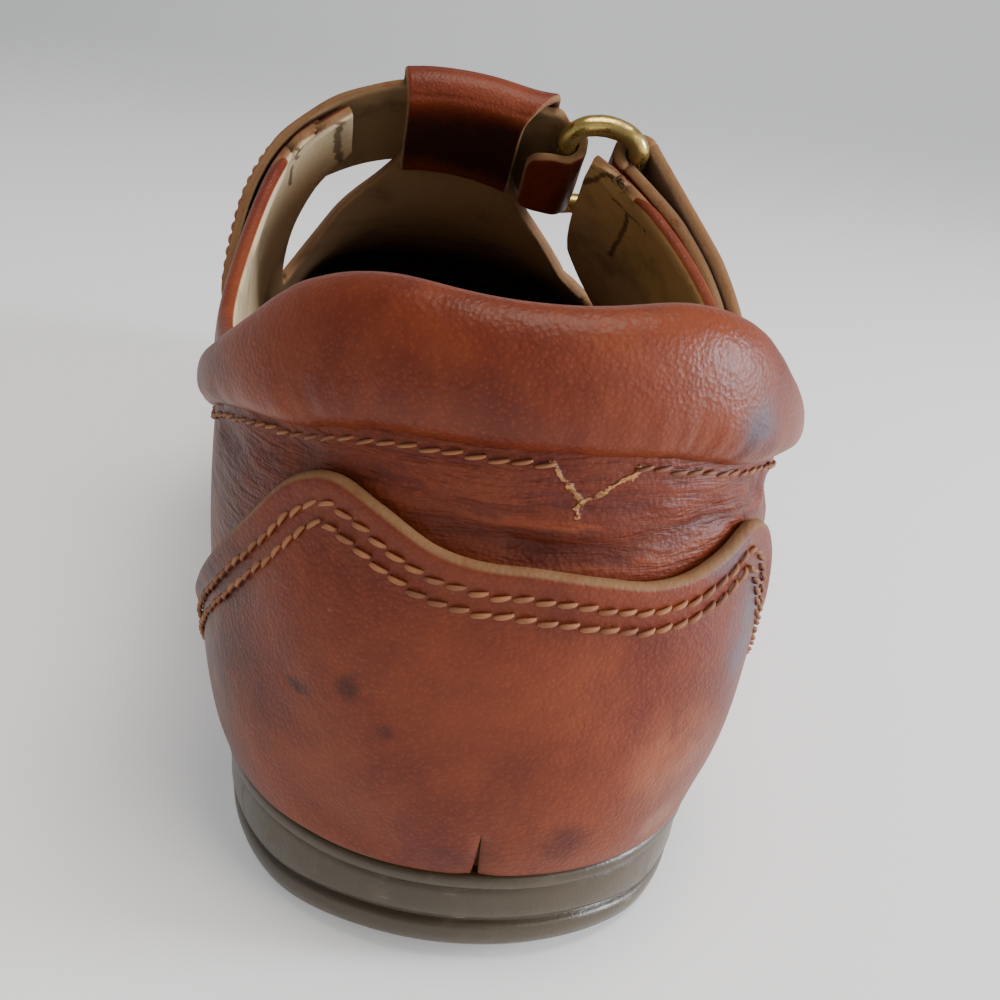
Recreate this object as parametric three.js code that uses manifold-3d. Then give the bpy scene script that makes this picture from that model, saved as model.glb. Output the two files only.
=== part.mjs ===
// Fisherman sandal, the right shoe of a pair: a moulded rubber sole, a leather upper with a padded
// collar, a T-bar over the instep, and a hook and loop strap that turns round a brass ring.
// Millimetres. +Z is up, +Y points to the toe and +X to the outside of the foot.
// The origin is on the floor, in the middle of the heel's tread.

import * as THREE from 'three';
import { mergeVertices } from 'three/addons/utils/BufferGeometryUtils.js';
import Module from 'manifold-3d';

const wasm = await Module();
wasm.setup();

// Driving dimensions: the last
const LENGTH = 270;
const HEEL_BACK = 34;
const BALL_WIDTH = 96;
const INSTEP_HEIGHT = 94;
const COLLAR_HEIGHT = 84;

// Driving dimensions: the sole and footbed
const SOLE_HEIGHT = 14;
const SOLE_PROUD = 1.8;
const TOE_SPRING = 10;
const LIP_HEIGHT = 2.2;
const GROOVE_HEIGHT = 4.6;
const GROOVE_DEPTH = 0.9;
const SOLE_ROUND = 2.6;
const TREAD_CROWN = 3;
const TREAD_DEPTH = 1.4;
const TREAD_WIDTH = 3;
const TREAD_PITCH = 11;
const TREAD_MARGIN = 9.6;
const FOOTBED_THICKNESS = 4.2;
const FOOTBED_DISH = 1.6;
const FOOTBED_GAP = 1.3;

// Driving dimensions: leather, straps and ring
const CLEARANCE = 0.3;
const UPPER_WALL = 2.4;
const COUNTER_THICKNESS = 1.6;
const COUNTER_HEIGHT = 62;
const DART_HEIGHT = 8;
const DART_WIDTH = 0.8;
const COLLAR_PAD = 17;
const COLLAR_PUFF_OUT = 2.6;
const COLLAR_PUFF_IN = 4;
const EDGE_ROLL = 4.4;
const EDGE_PUFF = 0.9;
const STRAP_WIDTH = 23;
const STRAP_THICKNESS = 1.8;
const STRAP_SHARE = 0.5204;
const STRAP_LIFT = 0.6;
const CLOSURE_THICKNESS = 2.6;
const BAR_SETBACK = 3.2;
const BAR_MEDIAL = -14.5;
const BAR_LATERAL = 8;
const SLEEVE_THICKNESS = 1.8;
const SLEEVE_OVERHANG = 4.6;
const SLEEVE_LEG = 19;
const FRONT_MEDIAL = -25;
const FRONT_LATERAL = 22;
const RING_ROD = 4.2;
const RING_ACROSS = 14;
const RING_BEND = 3.5;
const RING_BOW = 2.6;
const RING_INNER_X = 16.8;
const RING_RAISE = 7.6;
const TAB_LENGTH = 6.5;
const TAB_TAPER = 0.12;

// Where the sections change from the round heel to the sides, and from the sides to the round toe
const HEEL_FAN = 6;
const TOE_FAN = 0.7 * LENGTH - HEEL_BACK;
const HEEL_SQUARENESS = 2.15;
const TOE_SQUARENESS_MEDIAL = 2.7;
const TOE_SQUARENESS_LATERAL = 2.15;

// The edge where upper meets sole: half widths and centre line, shares of BALL_WIDTH
const OUTLINE = [
  { along: 0.148, medial: 0.330, lateral: 0.330, centre: 0.000 },
  { along: 0.200, medial: 0.318, lateral: 0.333, centre: -0.006 },
  { along: 0.300, medial: 0.300, lateral: 0.345, centre: -0.030 },
  { along: 0.420, medial: 0.292, lateral: 0.385, centre: -0.068 },
  { along: 0.482, medial: 0.305, lateral: 0.410, centre: -0.083 },
  { along: 0.563, medial: 0.350, lateral: 0.448, centre: -0.090 },
  { along: 0.620, medial: 0.395, lateral: 0.475, centre: -0.085 },
  { along: 0.700, medial: 0.430, lateral: 0.490, centre: -0.070 },
];

// The upper's sections: ridge and rise of the side are shares of INSTEP_HEIGHT, the side's swell and
// the breadth of the crown are shares of BALL_WIDTH
const FORM = [
  { along: 0.000, ridge: 1.60, swellMedial: 0.12, swellLateral: 0.12,
    side: 0.28, crownMedial: 0.417, crownLateral: 0.417 },
  { along: 0.148, ridge: 1.60, swellMedial: 0.16, swellLateral: 0.17,
    side: 0.28, crownMedial: 0.335, crownLateral: 0.335 },
  { along: 0.200, ridge: 1.60, swellMedial: 0.21, swellLateral: 0.21,
    side: 0.29, crownMedial: 0.330, crownLateral: 0.345 },
  { along: 0.300, ridge: 1.25, swellMedial: 0.31, swellLateral: 0.29,
    side: 0.33, crownMedial: 0.350, crownLateral: 0.410 },
  { along: 0.420, ridge: 1.09, swellMedial: 0.29, swellLateral: 0.22,
    side: 0.36, crownMedial: 0.370, crownLateral: 0.440 },
  { along: 0.482, ridge: 1.00, swellMedial: 0.27, swellLateral: 0.15,
    side: 0.40, crownMedial: 0.375, crownLateral: 0.450 },
  { along: 0.563, ridge: 0.84, swellMedial: 0.21, swellLateral: 0.10,
    side: 0.31, crownMedial: 0.333, crownLateral: 0.330 },
  { along: 0.620, ridge: 0.735, swellMedial: 0.12, swellLateral: 0.07,
    side: 0.25, crownMedial: 0.310, crownLateral: 0.310 },
  { along: 0.700, ridge: 0.64, swellMedial: 0.06, swellLateral: 0.06,
    side: 0.20, crownMedial: 0.290, crownLateral: 0.320 },
  { along: 0.850, ridge: 0.53, swellMedial: 0.03, swellLateral: 0.03,
    side: 0.18, crownMedial: 0.380, crownLateral: 0.380 },
  { along: 1.000, ridge: 0.44, swellMedial: 0.02, swellLateral: 0.02,
    side: 0.17, crownMedial: 0.490, crownLateral: 0.490 },
];

// Height of the sole's lip, shares of SOLE_HEIGHT
const LIP = [
  { along: 0.00, height: 1.00 },
  { along: 0.30, height: 1.05 },
  { along: 0.50, height: 1.18 },
  { along: 0.70, height: 1.42 },
  { along: 0.85, height: 1.68 },
  { along: 1.00, height: 2.05 },
];

// Height of the tread above the floor, shares of TOE_SPRING: flat under the heel and the ball
const TREAD = [
  { along: 0.00, height: 0.16 },
  { along: 0.05, height: 0.00 },
  { along: 0.24, height: 0.00 },
  { along: 0.38, height: 0.32 },
  { along: 0.46, height: 0.30 },
  { along: 0.55, height: 0.00 },
  { along: 0.70, height: 0.00 },
  { along: 0.84, height: 0.28 },
  { along: 1.00, height: 1.00 },
];

// The topline from the back of the heel to the instep, shares of COLLAR_HEIGHT
const TOPLINE = [
  { along: -0.020, height: 0.985 },
  { along: 0.014, height: 1.005 },
  { along: 0.037, height: 0.975 },
  { along: 0.070, height: 0.893 },
  { along: 0.098, height: 0.838 },
  { along: 0.145, height: 0.780 },
  { along: 0.200, height: 0.732 },
  { along: 0.256, height: 0.710 },
  { along: 0.304, height: 0.728 },
  { along: 0.350, height: 0.790 },
  { along: 0.385, height: 0.852 },
  { along: 0.422, height: 0.925 },
  { along: 0.460, height: 1.020 },
  { along: 0.482, height: 1.110 },
];

// Scalloped top of the heel counter, shares of COUNTER_HEIGHT, by how far it has turned round the heel
const SCALLOP = [
  { turn: 0.00, medial: 0.895, lateral: 0.895 },
  { turn: 0.16, medial: 0.915, lateral: 0.880 },
  { turn: 0.28, medial: 0.970, lateral: 0.865 },
  { turn: 0.37, medial: 1.000, lateral: 0.870 },
  { turn: 0.46, medial: 0.965, lateral: 0.895 },
  { turn: 0.56, medial: 0.860, lateral: 0.930 },
  { turn: 0.66, medial: 0.760, lateral: 0.865 },
  { turn: 0.76, medial: 0.665, lateral: 0.710 },
  { turn: 0.88, medial: 0.560, lateral: 0.580 },
  { turn: 1.00, medial: 0.455, lateral: 0.470 },
  { turn: 1.18, medial: 0.290, lateral: 0.290 },
];

// The openings beside the T-bar. Girth runs from -1 at the medial sole edge over the ridge at 0 to 1
const OPENING_MEDIAL = [
  { girth: -0.085, along: 0.555 },
  { girth: -0.140, along: 0.576 },
  { girth: -0.250, along: 0.602 },
  { girth: -0.360, along: 0.631 },
  { girth: -0.470, along: 0.645 },
  { girth: -0.560, along: 0.634 },
  { girth: -0.540, along: 0.610 },
  { girth: -0.420, along: 0.574 },
  { girth: -0.300, along: 0.548 },
];
const OPENING_LATERAL = [
  { girth: 0.240, along: 0.576 },
  { girth: 0.340, along: 0.611 },
  { girth: 0.420, along: 0.652 },
  { girth: 0.500, along: 0.671 },
  { girth: 0.585, along: 0.660 },
  { girth: 0.560, along: 0.636 },
  { girth: 0.450, along: 0.604 },
  { girth: 0.375, along: 0.577 },
];

// The straps on the skin: girth, and how far the strap's middle lies behind the crossing, as shares of
// LENGTH, and its breadth as a share of STRAP_WIDTH
const INSTEP_STRAP = [
  { girth: -0.660, back: 0.080, breadth: 0.60 },
  { girth: -0.648, back: 0.077, breadth: 0.86 },
  { girth: -0.625, back: 0.072, breadth: 1.00 },
  { girth: -0.560, back: 0.056, breadth: 1.00 },
  { girth: -0.480, back: 0.036, breadth: 1.00 },
  { girth: -0.400, back: 0.018, breadth: 1.00 },
  { girth: -0.320, back: 0.006, breadth: 1.00 },
  { girth: -0.240, back: 0.001, breadth: 1.00 },
  { girth: -0.160, back: 0.000, breadth: 1.00 },
  { girth: -0.080, back: 0.000, breadth: 1.00 },
  { girth: 0.000, back: 0.000, breadth: 1.00 },
  { girth: 0.080, back: 0.000, breadth: 1.00 },
];
const CLOSURE_STRAP = [
  { girth: 0.705, back: 0.134, breadth: 0.62 },
  { girth: 0.693, back: 0.130, breadth: 0.88 },
  { girth: 0.668, back: 0.122, breadth: 1.00 },
  { girth: 0.600, back: 0.098, breadth: 1.00 },
  { girth: 0.540, back: 0.075, breadth: 1.00 },
  { girth: 0.485, back: 0.053, breadth: 1.00 },
  { girth: 0.440, back: 0.035, breadth: 1.00 },
];

// The end of the instep strap under the ring: shares of TAB_LENGTH and STRAP_WIDTH
const TAB = [
  { back: 0.50, breadth: 0.86 },
  { back: 0.85, breadth: 0.78 },
  { back: 1.00, breadth: 0.62 },
];

// The closure strap's turn about the ring's outer bar, in half circles
const CLOSURE_TURN = { from: 1.42, to: 0.12 };

// The sleeve ahead of the strap: shares of SLEEVE_THICKNESS, and of the rise over the strap
const SLEEVE_FRONT = [
  { ahead: 4.4, up: 0 },
  { ahead: 3.2, up: 0 },
  { ahead: 1.3, up: 1 },
];
const SLEEVE_ON_STRAP = [0.05, 0.35, 0.70, 0.95];
const SLEEVE_INSIDE = [0.10, 0.55, 1.00];

// The two fields of channels across the tread, shares of LENGTH
const TREAD_FIELDS = [
  { from: 0.070, to: 0.225 },
  { from: 0.565, to: 0.700 },
];

// How finely the solids are divided
const HEEL_STEPS = 13;
const SIDE_STEPS = 15;
const TOE_STEPS = 8;
const RISE_STEPS = 11;
const CORNER_STEPS = 4;
const BEND_STEPS = 6;
const TURN_STEPS = 9;
const SLEEVE_COLUMNS = 8;
const COUNTER_STEPS = 6;
const BAND_STEPS = 5;
const ROLL_SIDES = 10;
const ROD_SIDES = 10;

const along = (y) => (y + HEEL_BACK) / LENGTH;
const station = (share) => share * LENGTH - HEEL_BACK;
const ease = (t) => t * t * (3 - 2 * t);
const clamp = (value, low, high) => Math.min(Math.max(value, low), high);

// Smooth value of one column of a table, between the rows on either side of a place
function read(table, key, column, place) {
  const last = table.length - 1;
  const here = clamp(place, table[0][key], table[last][key]);
  let row = 0;
  while (row < last - 1 && here > table[row + 1][key]) row += 1;
  const slope = (k) => {
    if (k === 0 || k === last) return 0;
    const before = table[k][key] - table[k - 1][key];
    const after = table[k + 1][key] - table[k][key];
    const climbBefore = (table[k][column] - table[k - 1][column]) / before;
    const climbAfter = (table[k + 1][column] - table[k][column]) / after;
    return (climbBefore * after + climbAfter * before) / (before + after);
  };
  const span = table[row + 1][key] - table[row][key];
  const t = (here - table[row][key]) / span;
  const u = 1 - t;
  return u * u * (1 + 2 * t) * table[row][column] + t * u * u * span * slope(row)
    + t * t * (1 + 2 * u) * table[row + 1][column] - t * t * u * span * slope(row + 1);
}

// Value of a column that stays level between two equal rows
function readLevel(table, key, column, place) {
  const last = table.length - 1;
  const here = clamp(place, table[0][key], table[last][key]);
  let row = 0;
  while (row < last - 1 && here > table[row + 1][key]) row += 1;
  const t = (here - table[row][key]) / (table[row + 1][key] - table[row][key]);
  return table[row][column] + (table[row + 1][column] - table[row][column]) * ease(t);
}

const ridgeHeight = (y) => INSTEP_HEIGHT * read(FORM, 'along', 'ridge', along(y));
const lipHeight = (y) => SOLE_HEIGHT * read(LIP, 'along', 'height', along(y));
const treadHeight = (y) => TOE_SPRING * readLevel(TREAD, 'along', 'height', along(y));
const toplineHeight = (y) => COLLAR_HEIGHT * read(TOPLINE, 'along', 'height', along(y));
const centreLine = (y) => BALL_WIDTH * read(OUTLINE, 'along', 'centre', along(y));
const sideWord = (side) => (side < 0 ? 'medial' : 'lateral');
const halfWidth = (side, y) => BALL_WIDTH * read(OUTLINE, 'along', sideWord(side), along(y));

// Sine and cosine pushed out to a squarer round
function squareRound(angle, squareness) {
  const sine = Math.abs(Math.sin(angle));
  const cosine = Math.abs(Math.cos(angle));
  const push = (sine ** squareness + cosine ** squareness) ** (-1 / squareness);
  return { sine: sine * push, cosine: cosine * push };
}

// The sole edge, and the point on the centre line that its section runs to. Turn goes from 0 at the
// back of the heel through 1 and 2, where the side begins and ends, to 3 at the tip of the toe
function footing(side, turn) {
  if (turn < 1) {
    const round = squareRound(turn * Math.PI / 2, HEEL_SQUARENESS);
    const x = side * halfWidth(side, HEEL_FAN) * round.sine;
    return { x, y: HEEL_FAN - (HEEL_FAN + HEEL_BACK) * round.cosine, hubX: 0, hubY: HEEL_FAN };
  }
  if (turn <= 2) {
    const y = HEEL_FAN + (turn - 1) * (TOE_FAN - HEEL_FAN);
    return { x: side * halfWidth(side, y), y, hubX: centreLine(y), hubY: y };
  }
  const hubX = centreLine(TOE_FAN);
  const squareness = side < 0 ? TOE_SQUARENESS_MEDIAL : TOE_SQUARENESS_LATERAL;
  const round = squareRound((turn - 2) * Math.PI / 2, squareness);
  const x = hubX + (side * halfWidth(side, TOE_FAN) - hubX) * round.cosine;
  return { x, y: TOE_FAN + (LENGTH - HEEL_BACK - TOE_FAN) * round.sine, hubX, hubY: TOE_FAN };
}

const ridgeSlope = (y) => (ridgeHeight(y + 1) - ridgeHeight(y - 1)) / 2;

// A point of the upper's outer face: rise goes from 0 at the sole edge to 1 on the ridge
function face(side, turn, rise) {
  const foot = footing(side, turn);
  const place = along(foot.y);
  const reach = Math.hypot(foot.x - foot.hubX, foot.y - foot.hubY);
  const outX = (foot.x - foot.hubX) / reach;
  const outY = (foot.y - foot.hubY) / reach;
  const swell = BALL_WIDTH * read(FORM, 'along', side < 0 ? 'swellMedial' : 'swellLateral', place);
  const crown = BALL_WIDTH * read(FORM, 'along', side < 0 ? 'crownMedial' : 'crownLateral', place);
  const sideRise = INSTEP_HEIGHT * read(FORM, 'along', 'side', place);
  const low = lipHeight(foot.y);
  const high = ridgeHeight(foot.hubY);
  const left = 1 - rise;
  const weights = [left ** 3, 3 * left * left * rise, 3 * left * rise * rise, rise ** 3];
  const out = weights[0] * reach + weights[1] * (reach + swell) + weights[2] * crown;
  const z = weights[0] * low + weights[1] * (low + sideRise) + weights[3] * high
    + weights[2] * (high + ridgeSlope(foot.hubY) * outY * crown);
  return new THREE.Vector3(foot.hubX + outX * out, foot.hubY + outY * out, z);
}

// The outward normal of that face
function normal(side, turn, rise) {
  if (rise >= 1) return new THREE.Vector3(0, -ridgeSlope(footing(side, turn).hubY), 1).normalize();
  const small = 0.004;
  const here = clamp(rise, small, 1 - 3 * small);
  const ahead = face(side, Math.min(turn + small, 3), here);
  const forward = ahead.sub(face(side, Math.max(turn - small, 0), here));
  const upward = face(side, turn, here + small).sub(face(side, turn, here - small));
  return forward.cross(upward).multiplyScalar(side).normalize();
}

// A point at a distance outside the face, or inside it where lift is negative
function skin(side, turn, rise, lift) {
  return face(side, turn, rise).addScaledVector(normal(side, turn, rise), lift);
}

// The same by girth and distance forward, on the shoe's sides
const turnAt = (y) => 1 + (y - HEEL_FAN) / (TOE_FAN - HEEL_FAN);
const wrap = (girth, y, lift) => skin(girth < 0 ? -1 : 1, turnAt(y), 1 - Math.abs(girth), lift);

// The rise where the face first meets a height that may change along the shoe
function riseTo(side, turn, heightAt) {
  let low = 0;
  let high = 1;
  for (let step = 0; step < 30; step += 1) {
    const middle = (low + high) / 2;
    const point = face(side, turn, middle);
    if (point.z < heightAt(point.y)) low = middle;
    else high = middle;
  }
  return (low + high) / 2;
}

// The girth of a point near the ridge that lies at a given x
function girthAt(x, y) {
  const side = x < centreLine(y) ? -1 : 1;
  let low = 0;
  let high = 0.6;
  for (let step = 0; step < 30; step += 1) {
    const middle = (low + high) / 2;
    const across = Math.abs(face(side, turnAt(y), 1 - middle).x - centreLine(y));
    if (across < Math.abs(x - centreLine(y))) low = middle;
    else high = middle;
  }
  return side * (low + high) / 2;
}
const onTop = (x, y, lift) => wrap(girthAt(x, y), y, lift);
const STRAP_FORWARD = station(STRAP_SHARE);
const STRAP_REAR = STRAP_FORWARD - STRAP_WIDTH / 2;

// Triangles as flat lists of points, welded into a closed solid with its faces pointing out
function solid(triangles) {
  const positions = triangles.flat().flatMap((point) => point.toArray());
  const loose = new THREE.BufferGeometry();
  loose.setAttribute('position', new THREE.Float32BufferAttribute(positions, 3));
  return solidFrom(loose);
}

function solidFrom(geometry) {
  const bare = geometry.clone();
  bare.deleteAttribute('normal');
  bare.deleteAttribute('uv');
  const merged = mergeVertices(bare, 1e-4);
  const corners = merged.index.array;
  const at = (k) => new THREE.Vector3().fromBufferAttribute(merged.attributes.position, k);
  const kept = [];
  let volume = 0;
  for (let k = 0; k < corners.length; k += 3) {
    const [a, b, c] = [corners[k], corners[k + 1], corners[k + 2]];
    if (a === b || b === c || c === a) continue;
    kept.push([a, b, c]);
    volume += at(a).dot(at(b).cross(at(c)));
  }
  if (volume < 0) kept.forEach((corner) => corner.reverse());
  return new wasm.Manifold(new wasm.Mesh({
    numProp: 3,
    vertProperties: new Float32Array(merged.attributes.position.array),
    triVerts: new Uint32Array(kept.flat()),
  }));
}

function quad(a, b, c, d) {
  return [[a, b, c], [a, c, d]];
}

// Rings of equal length, one above the other, closed to a line of hubs at the bottom and the top
function stack(rings, bottomHubs, topHubs) {
  const levels = [bottomHubs, ...rings, topHubs];
  const triangles = [];
  for (let level = 0; level < levels.length - 1; level += 1) {
    const lower = levels[level];
    const upper = levels[level + 1];
    lower.forEach((point, k) => {
      const next = (k + 1) % lower.length;
      triangles.push(...quad(point, lower[next], upper[next], upper[k]));
    });
  }
  return solid(triangles);
}

// Two grids of points, one on each face of a sheet, joined round their border
function sheet(outer, inner) {
  const rows = outer.length - 1;
  const columns = outer[0].length - 1;
  const triangles = [];
  for (let i = 0; i < rows; i += 1) {
    for (let j = 0; j < columns; j += 1) {
      triangles.push(...quad(outer[i][j], outer[i][j + 1], outer[i + 1][j + 1], outer[i + 1][j]));
      triangles.push(...quad(inner[i][j], inner[i + 1][j], inner[i + 1][j + 1], inner[i][j + 1]));
    }
    triangles.push(...quad(outer[i][0], outer[i + 1][0], inner[i + 1][0], inner[i][0]));
    const last = [outer[i][columns], inner[i][columns], inner[i + 1][columns], outer[i + 1][columns]];
    triangles.push(...quad(...last));
  }
  for (let j = 0; j < columns; j += 1) {
    triangles.push(...quad(outer[0][j], inner[0][j], inner[0][j + 1], outer[0][j + 1]));
    triangles.push(...quad(outer[rows][j], outer[rows][j + 1], inner[rows][j + 1], inner[rows][j]));
  }
  return solid(triangles);
}

// A sheet of one thickness about a grid of points
function band(grid, thickness) {
  const rows = grid.length - 1;
  const columns = grid[0].length - 1;
  const faces = [0.5, -0.5].map((share) => grid.map((row, i) => row.map((point, j) => {
    const acrossRow = row[Math.min(j + 1, columns)].clone().sub(row[Math.max(j - 1, 0)]);
    const alongRows = grid[Math.min(i + 1, rows)][j].clone().sub(grid[Math.max(i - 1, 0)][j]);
    return point.clone().addScaledVector(alongRows.cross(acrossRow).normalize(), share * thickness);
  })));
  return sheet(faces[0], faces[1]);
}

// Loops of equal length along a path, closed at both ends or joined end to end
function rod(loops, joined) {
  const triangles = [];
  const count = loops.length;
  for (let i = 0; i < (joined ? count : count - 1); i += 1) {
    const here = loops[i];
    const there = loops[(i + 1) % count];
    here.forEach((point, k) => {
      const next = (k + 1) % here.length;
      triangles.push(...quad(point, here[next], there[next], there[k]));
    });
  }
  if (!joined) {
    for (const [loop, turned] of [[loops[0], true], [loops[count - 1], false]]) {
      const middle = loop.reduce((sum, point) => sum.add(point), new THREE.Vector3());
      middle.divideScalar(loop.length);
      loop.forEach((point, k) => {
        const next = loop[(k + 1) % loop.length];
        triangles.push(turned ? [next, point, middle] : [point, next, middle]);
      });
    }
  }
  return solid(triangles);
}

// The places round the shoe that rings of points use: from the back of the heel along the outside of
// the foot to the toe, and home along the inside
function placesAround() {
  const turns = [];
  for (let k = 0; k < HEEL_STEPS; k += 1) {
    turns.push(k / HEEL_STEPS);
  }
  for (let k = 0; k < SIDE_STEPS; k += 1) {
    turns.push(1 + k / SIDE_STEPS);
  }
  for (let k = 0; k <= TOE_STEPS; k += 1) {
    turns.push(2 + k / TOE_STEPS);
  }
  const lateral = turns.map((turn) => ({ side: 1, turn }));
  const medial = turns.slice(1, -1).reverse().map((turn) => ({ side: -1, turn }));
  return [...lateral, ...medial];
}
const AROUND = placesAround();

// A ring beside the sole edge: out is measured level and square to the edge
function edgeRing(out, heightAt) {
  return AROUND.map(({ side, turn }) => {
    const foot = footing(side, turn);
    const outward = normal(side, turn, 0).setZ(0).normalize();
    const point = new THREE.Vector3(foot.x, foot.y, 0).addScaledVector(outward, out);
    return point.setZ(heightAt(foot.y));
  });
}

const hubs = (heightAt) => AROUND.map(({ side, turn }) => {
  const foot = footing(side, turn);
  return new THREE.Vector3(foot.hubX, foot.hubY, heightAt(foot.hubY));
});

// A closed form of the last, its face moved out by lift and its foot at a chosen height
function lastForm(lift, footAt) {
  const rings = [edgeRing(lift, footAt)];
  for (let step = 1; step <= RISE_STEPS; step += 1) {
    rings.push(AROUND.map(({ side, turn }) => skin(side, turn, step / RISE_STEPS, lift)));
  }
  const top = rings.pop();
  return stack(rings, hubs(footAt), top);
}

// A prism across the shoe, from an outline of distances forward and heights
function prismAcross(points, from, to) {
  const shape = new THREE.Shape(points.map(([y, z]) => new THREE.Vector2(y, z)));
  const geometry = new THREE.ExtrudeGeometry(shape, { depth: to - from, bevelEnabled: false });
  const axes = [new THREE.Vector3(0, 1, 0), new THREE.Vector3(0, 0, 1), new THREE.Vector3(1, 0, 0)];
  geometry.applyMatrix4(new THREE.Matrix4().makeBasis(...axes));
  geometry.translate(from, 0, 0);
  return solidFrom(geometry);
}

// A plug through the upper's wall, from an outline of girths and distances forward
function plug(outline, reach) {
  const flat = outline.map(([girth, y]) => new THREE.Vector2(girth * LENGTH, y));
  if (THREE.ShapeUtils.isClockWise(flat)) {
    flat.reverse();
    outline.reverse();
  }
  const outer = outline.map(([girth, y]) => wrap(girth, y, reach));
  const inner = outline.map(([girth, y]) => wrap(girth, y, -reach));
  const triangles = [];
  THREE.ShapeUtils.triangulateShape(flat, []).forEach(([a, b, c]) => {
    triangles.push([outer[a], outer[b], outer[c]]);
    triangles.push([inner[c], inner[b], inner[a]]);
  });
  outline.forEach((_, k) => {
    const next = (k + 1) % outline.length;
    triangles.push(...quad(outer[next], outer[k], inner[k], inner[next]));
  });
  return solid(triangles);
}

// The upper: one leather shell, open under the foot, round the ankle and beside the T-bar

function throatCut() {
  const inset = EDGE_ROLL / 3;
  const line = [[station(-0.2), toplineHeight(station(-0.2)) - inset]];
  const steps = 44;
  for (let k = 0; k <= steps; k += 1) {
    const y = station(TOPLINE[0].along + (TOPLINE.at(-1).along - TOPLINE[0].along) * k / steps);
    line.push([y, toplineHeight(y) - inset]);
  }
  line.push([line.at(-1)[0], INSTEP_HEIGHT * 2], [station(-0.2), INSTEP_HEIGHT * 2]);
  return prismAcross(line, -BALL_WIDTH, BALL_WIDTH);
}

// The square end of the T-bar, just in front of the strap's rear edge
function barEndCut() {
  const end = STRAP_REAR + BAR_SETBACK;
  const rear = STRAP_REAR - 2 * EDGE_ROLL;
  const corners = [[BAR_MEDIAL - EDGE_ROLL, rear], [BAR_MEDIAL - EDGE_ROLL, end]];
  corners.push([0, end], [BAR_LATERAL + EDGE_ROLL, end], [BAR_LATERAL + EDGE_ROLL, rear], [0, rear]);
  return plug(corners.map(([x, y]) => [girthAt(x, y), y]), 5 * UPPER_WALL);
}

// An opening runs forward along the T-bar, round its table's curve, and back along the end of the
// quarter's rising front
function openingCut(table, barX, frontX) {
  const points = table.map((row) => new THREE.Vector2(row.girth, station(row.along)));
  const curve = new THREE.SplineCurve(points).getPoints(3 * (points.length - 1));
  const rear = STRAP_REAR - EDGE_ROLL;
  const beside = (x, places) => places.map((y) => [girthAt(x, y), y]);
  const quarter = STRAP_WIDTH / 4;
  const bar = beside(barX, [rear, STRAP_FORWARD - quarter, STRAP_FORWARD, STRAP_FORWARD + quarter]);
  const front = beside(frontX, [STRAP_FORWARD + quarter / 2, STRAP_FORWARD - quarter, rear]);
  return plug([...bar, ...curve.map((point) => [point.x, point.y]), ...front], 5 * UPPER_WALL);
}

// The collar: an oval roll round the topline, full at the heel and slim along the rising fronts
function collarRoll() {
  const sweep = [];
  const front = turnAt(station(0.452));
  for (let k = 0; k <= SIDE_STEPS; k += 1) {
    sweep.push({ side: -1, turn: front + (1 - front) * k / SIDE_STEPS });
  }
  for (let k = 1; k <= HEEL_STEPS; k += 1) {
    sweep.push({ side: -1, turn: 1 - k / HEEL_STEPS });
  }
  const home = sweep.slice(0, -1).reverse().map(({ turn }) => ({ side: 1, turn }));
  const path = [...sweep, ...home].map(({ side, turn }) => {
    const rise = riseTo(side, turn, toplineHeight);
    const point = face(side, turn, rise);
    const fullness = ease(clamp((station(0.24) - point.y) / (station(0.24) - station(0.08)), 0, 1));
    return { point, outward: normal(side, turn, rise), fullness };
  });
  const loops = path.map(({ point, outward, fullness }, k) => {
    const before = path[Math.max(k - 1, 0)].point;
    const after = path[Math.min(k + 1, path.length - 1)].point;
    const down = after.clone().sub(before).cross(outward).normalize();
    const deep = (EDGE_ROLL + (COLLAR_PAD - EDGE_ROLL) * fullness) / 2;
    const puffOut = COLLAR_PUFF_OUT * fullness - CLEARANCE * (1 - fullness);
    const puffIn = EDGE_PUFF + (COLLAR_PUFF_IN - EDGE_PUFF) * fullness;
    const thick = (puffOut + UPPER_WALL + puffIn) / 2;
    const middle = point.clone().addScaledVector(down, deep).addScaledVector(outward, puffOut - thick);
    return Array.from({ length: ROLL_SIDES }, (_, side) => {
      const angle = 2 * Math.PI * side / ROLL_SIDES;
      const reachDown = down.clone().multiplyScalar(-deep * Math.cos(angle));
      return middle.clone().add(reachDown).addScaledVector(outward, thick * Math.sin(angle));
    });
  });
  return rod(loops, false);
}

function upper() {
  const shell = lastForm(0, (y) => lipHeight(y) + CLEARANCE)
    .subtract(lastForm(-UPPER_WALL, (y) => lipHeight(y) - UPPER_WALL));
  let cut = shell.subtract(throatCut());
  cut = cut.subtract(barEndCut());
  cut = cut.subtract(openingCut(OPENING_MEDIAL, BAR_MEDIAL, FRONT_MEDIAL));
  cut = cut.subtract(openingCut(OPENING_LATERAL, BAR_LATERAL, FRONT_LATERAL));
  return cut.add(collarRoll());
}

// The sole: a moulded rubber unit with a thin lip, a groove round its side and a channelled tread

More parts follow.
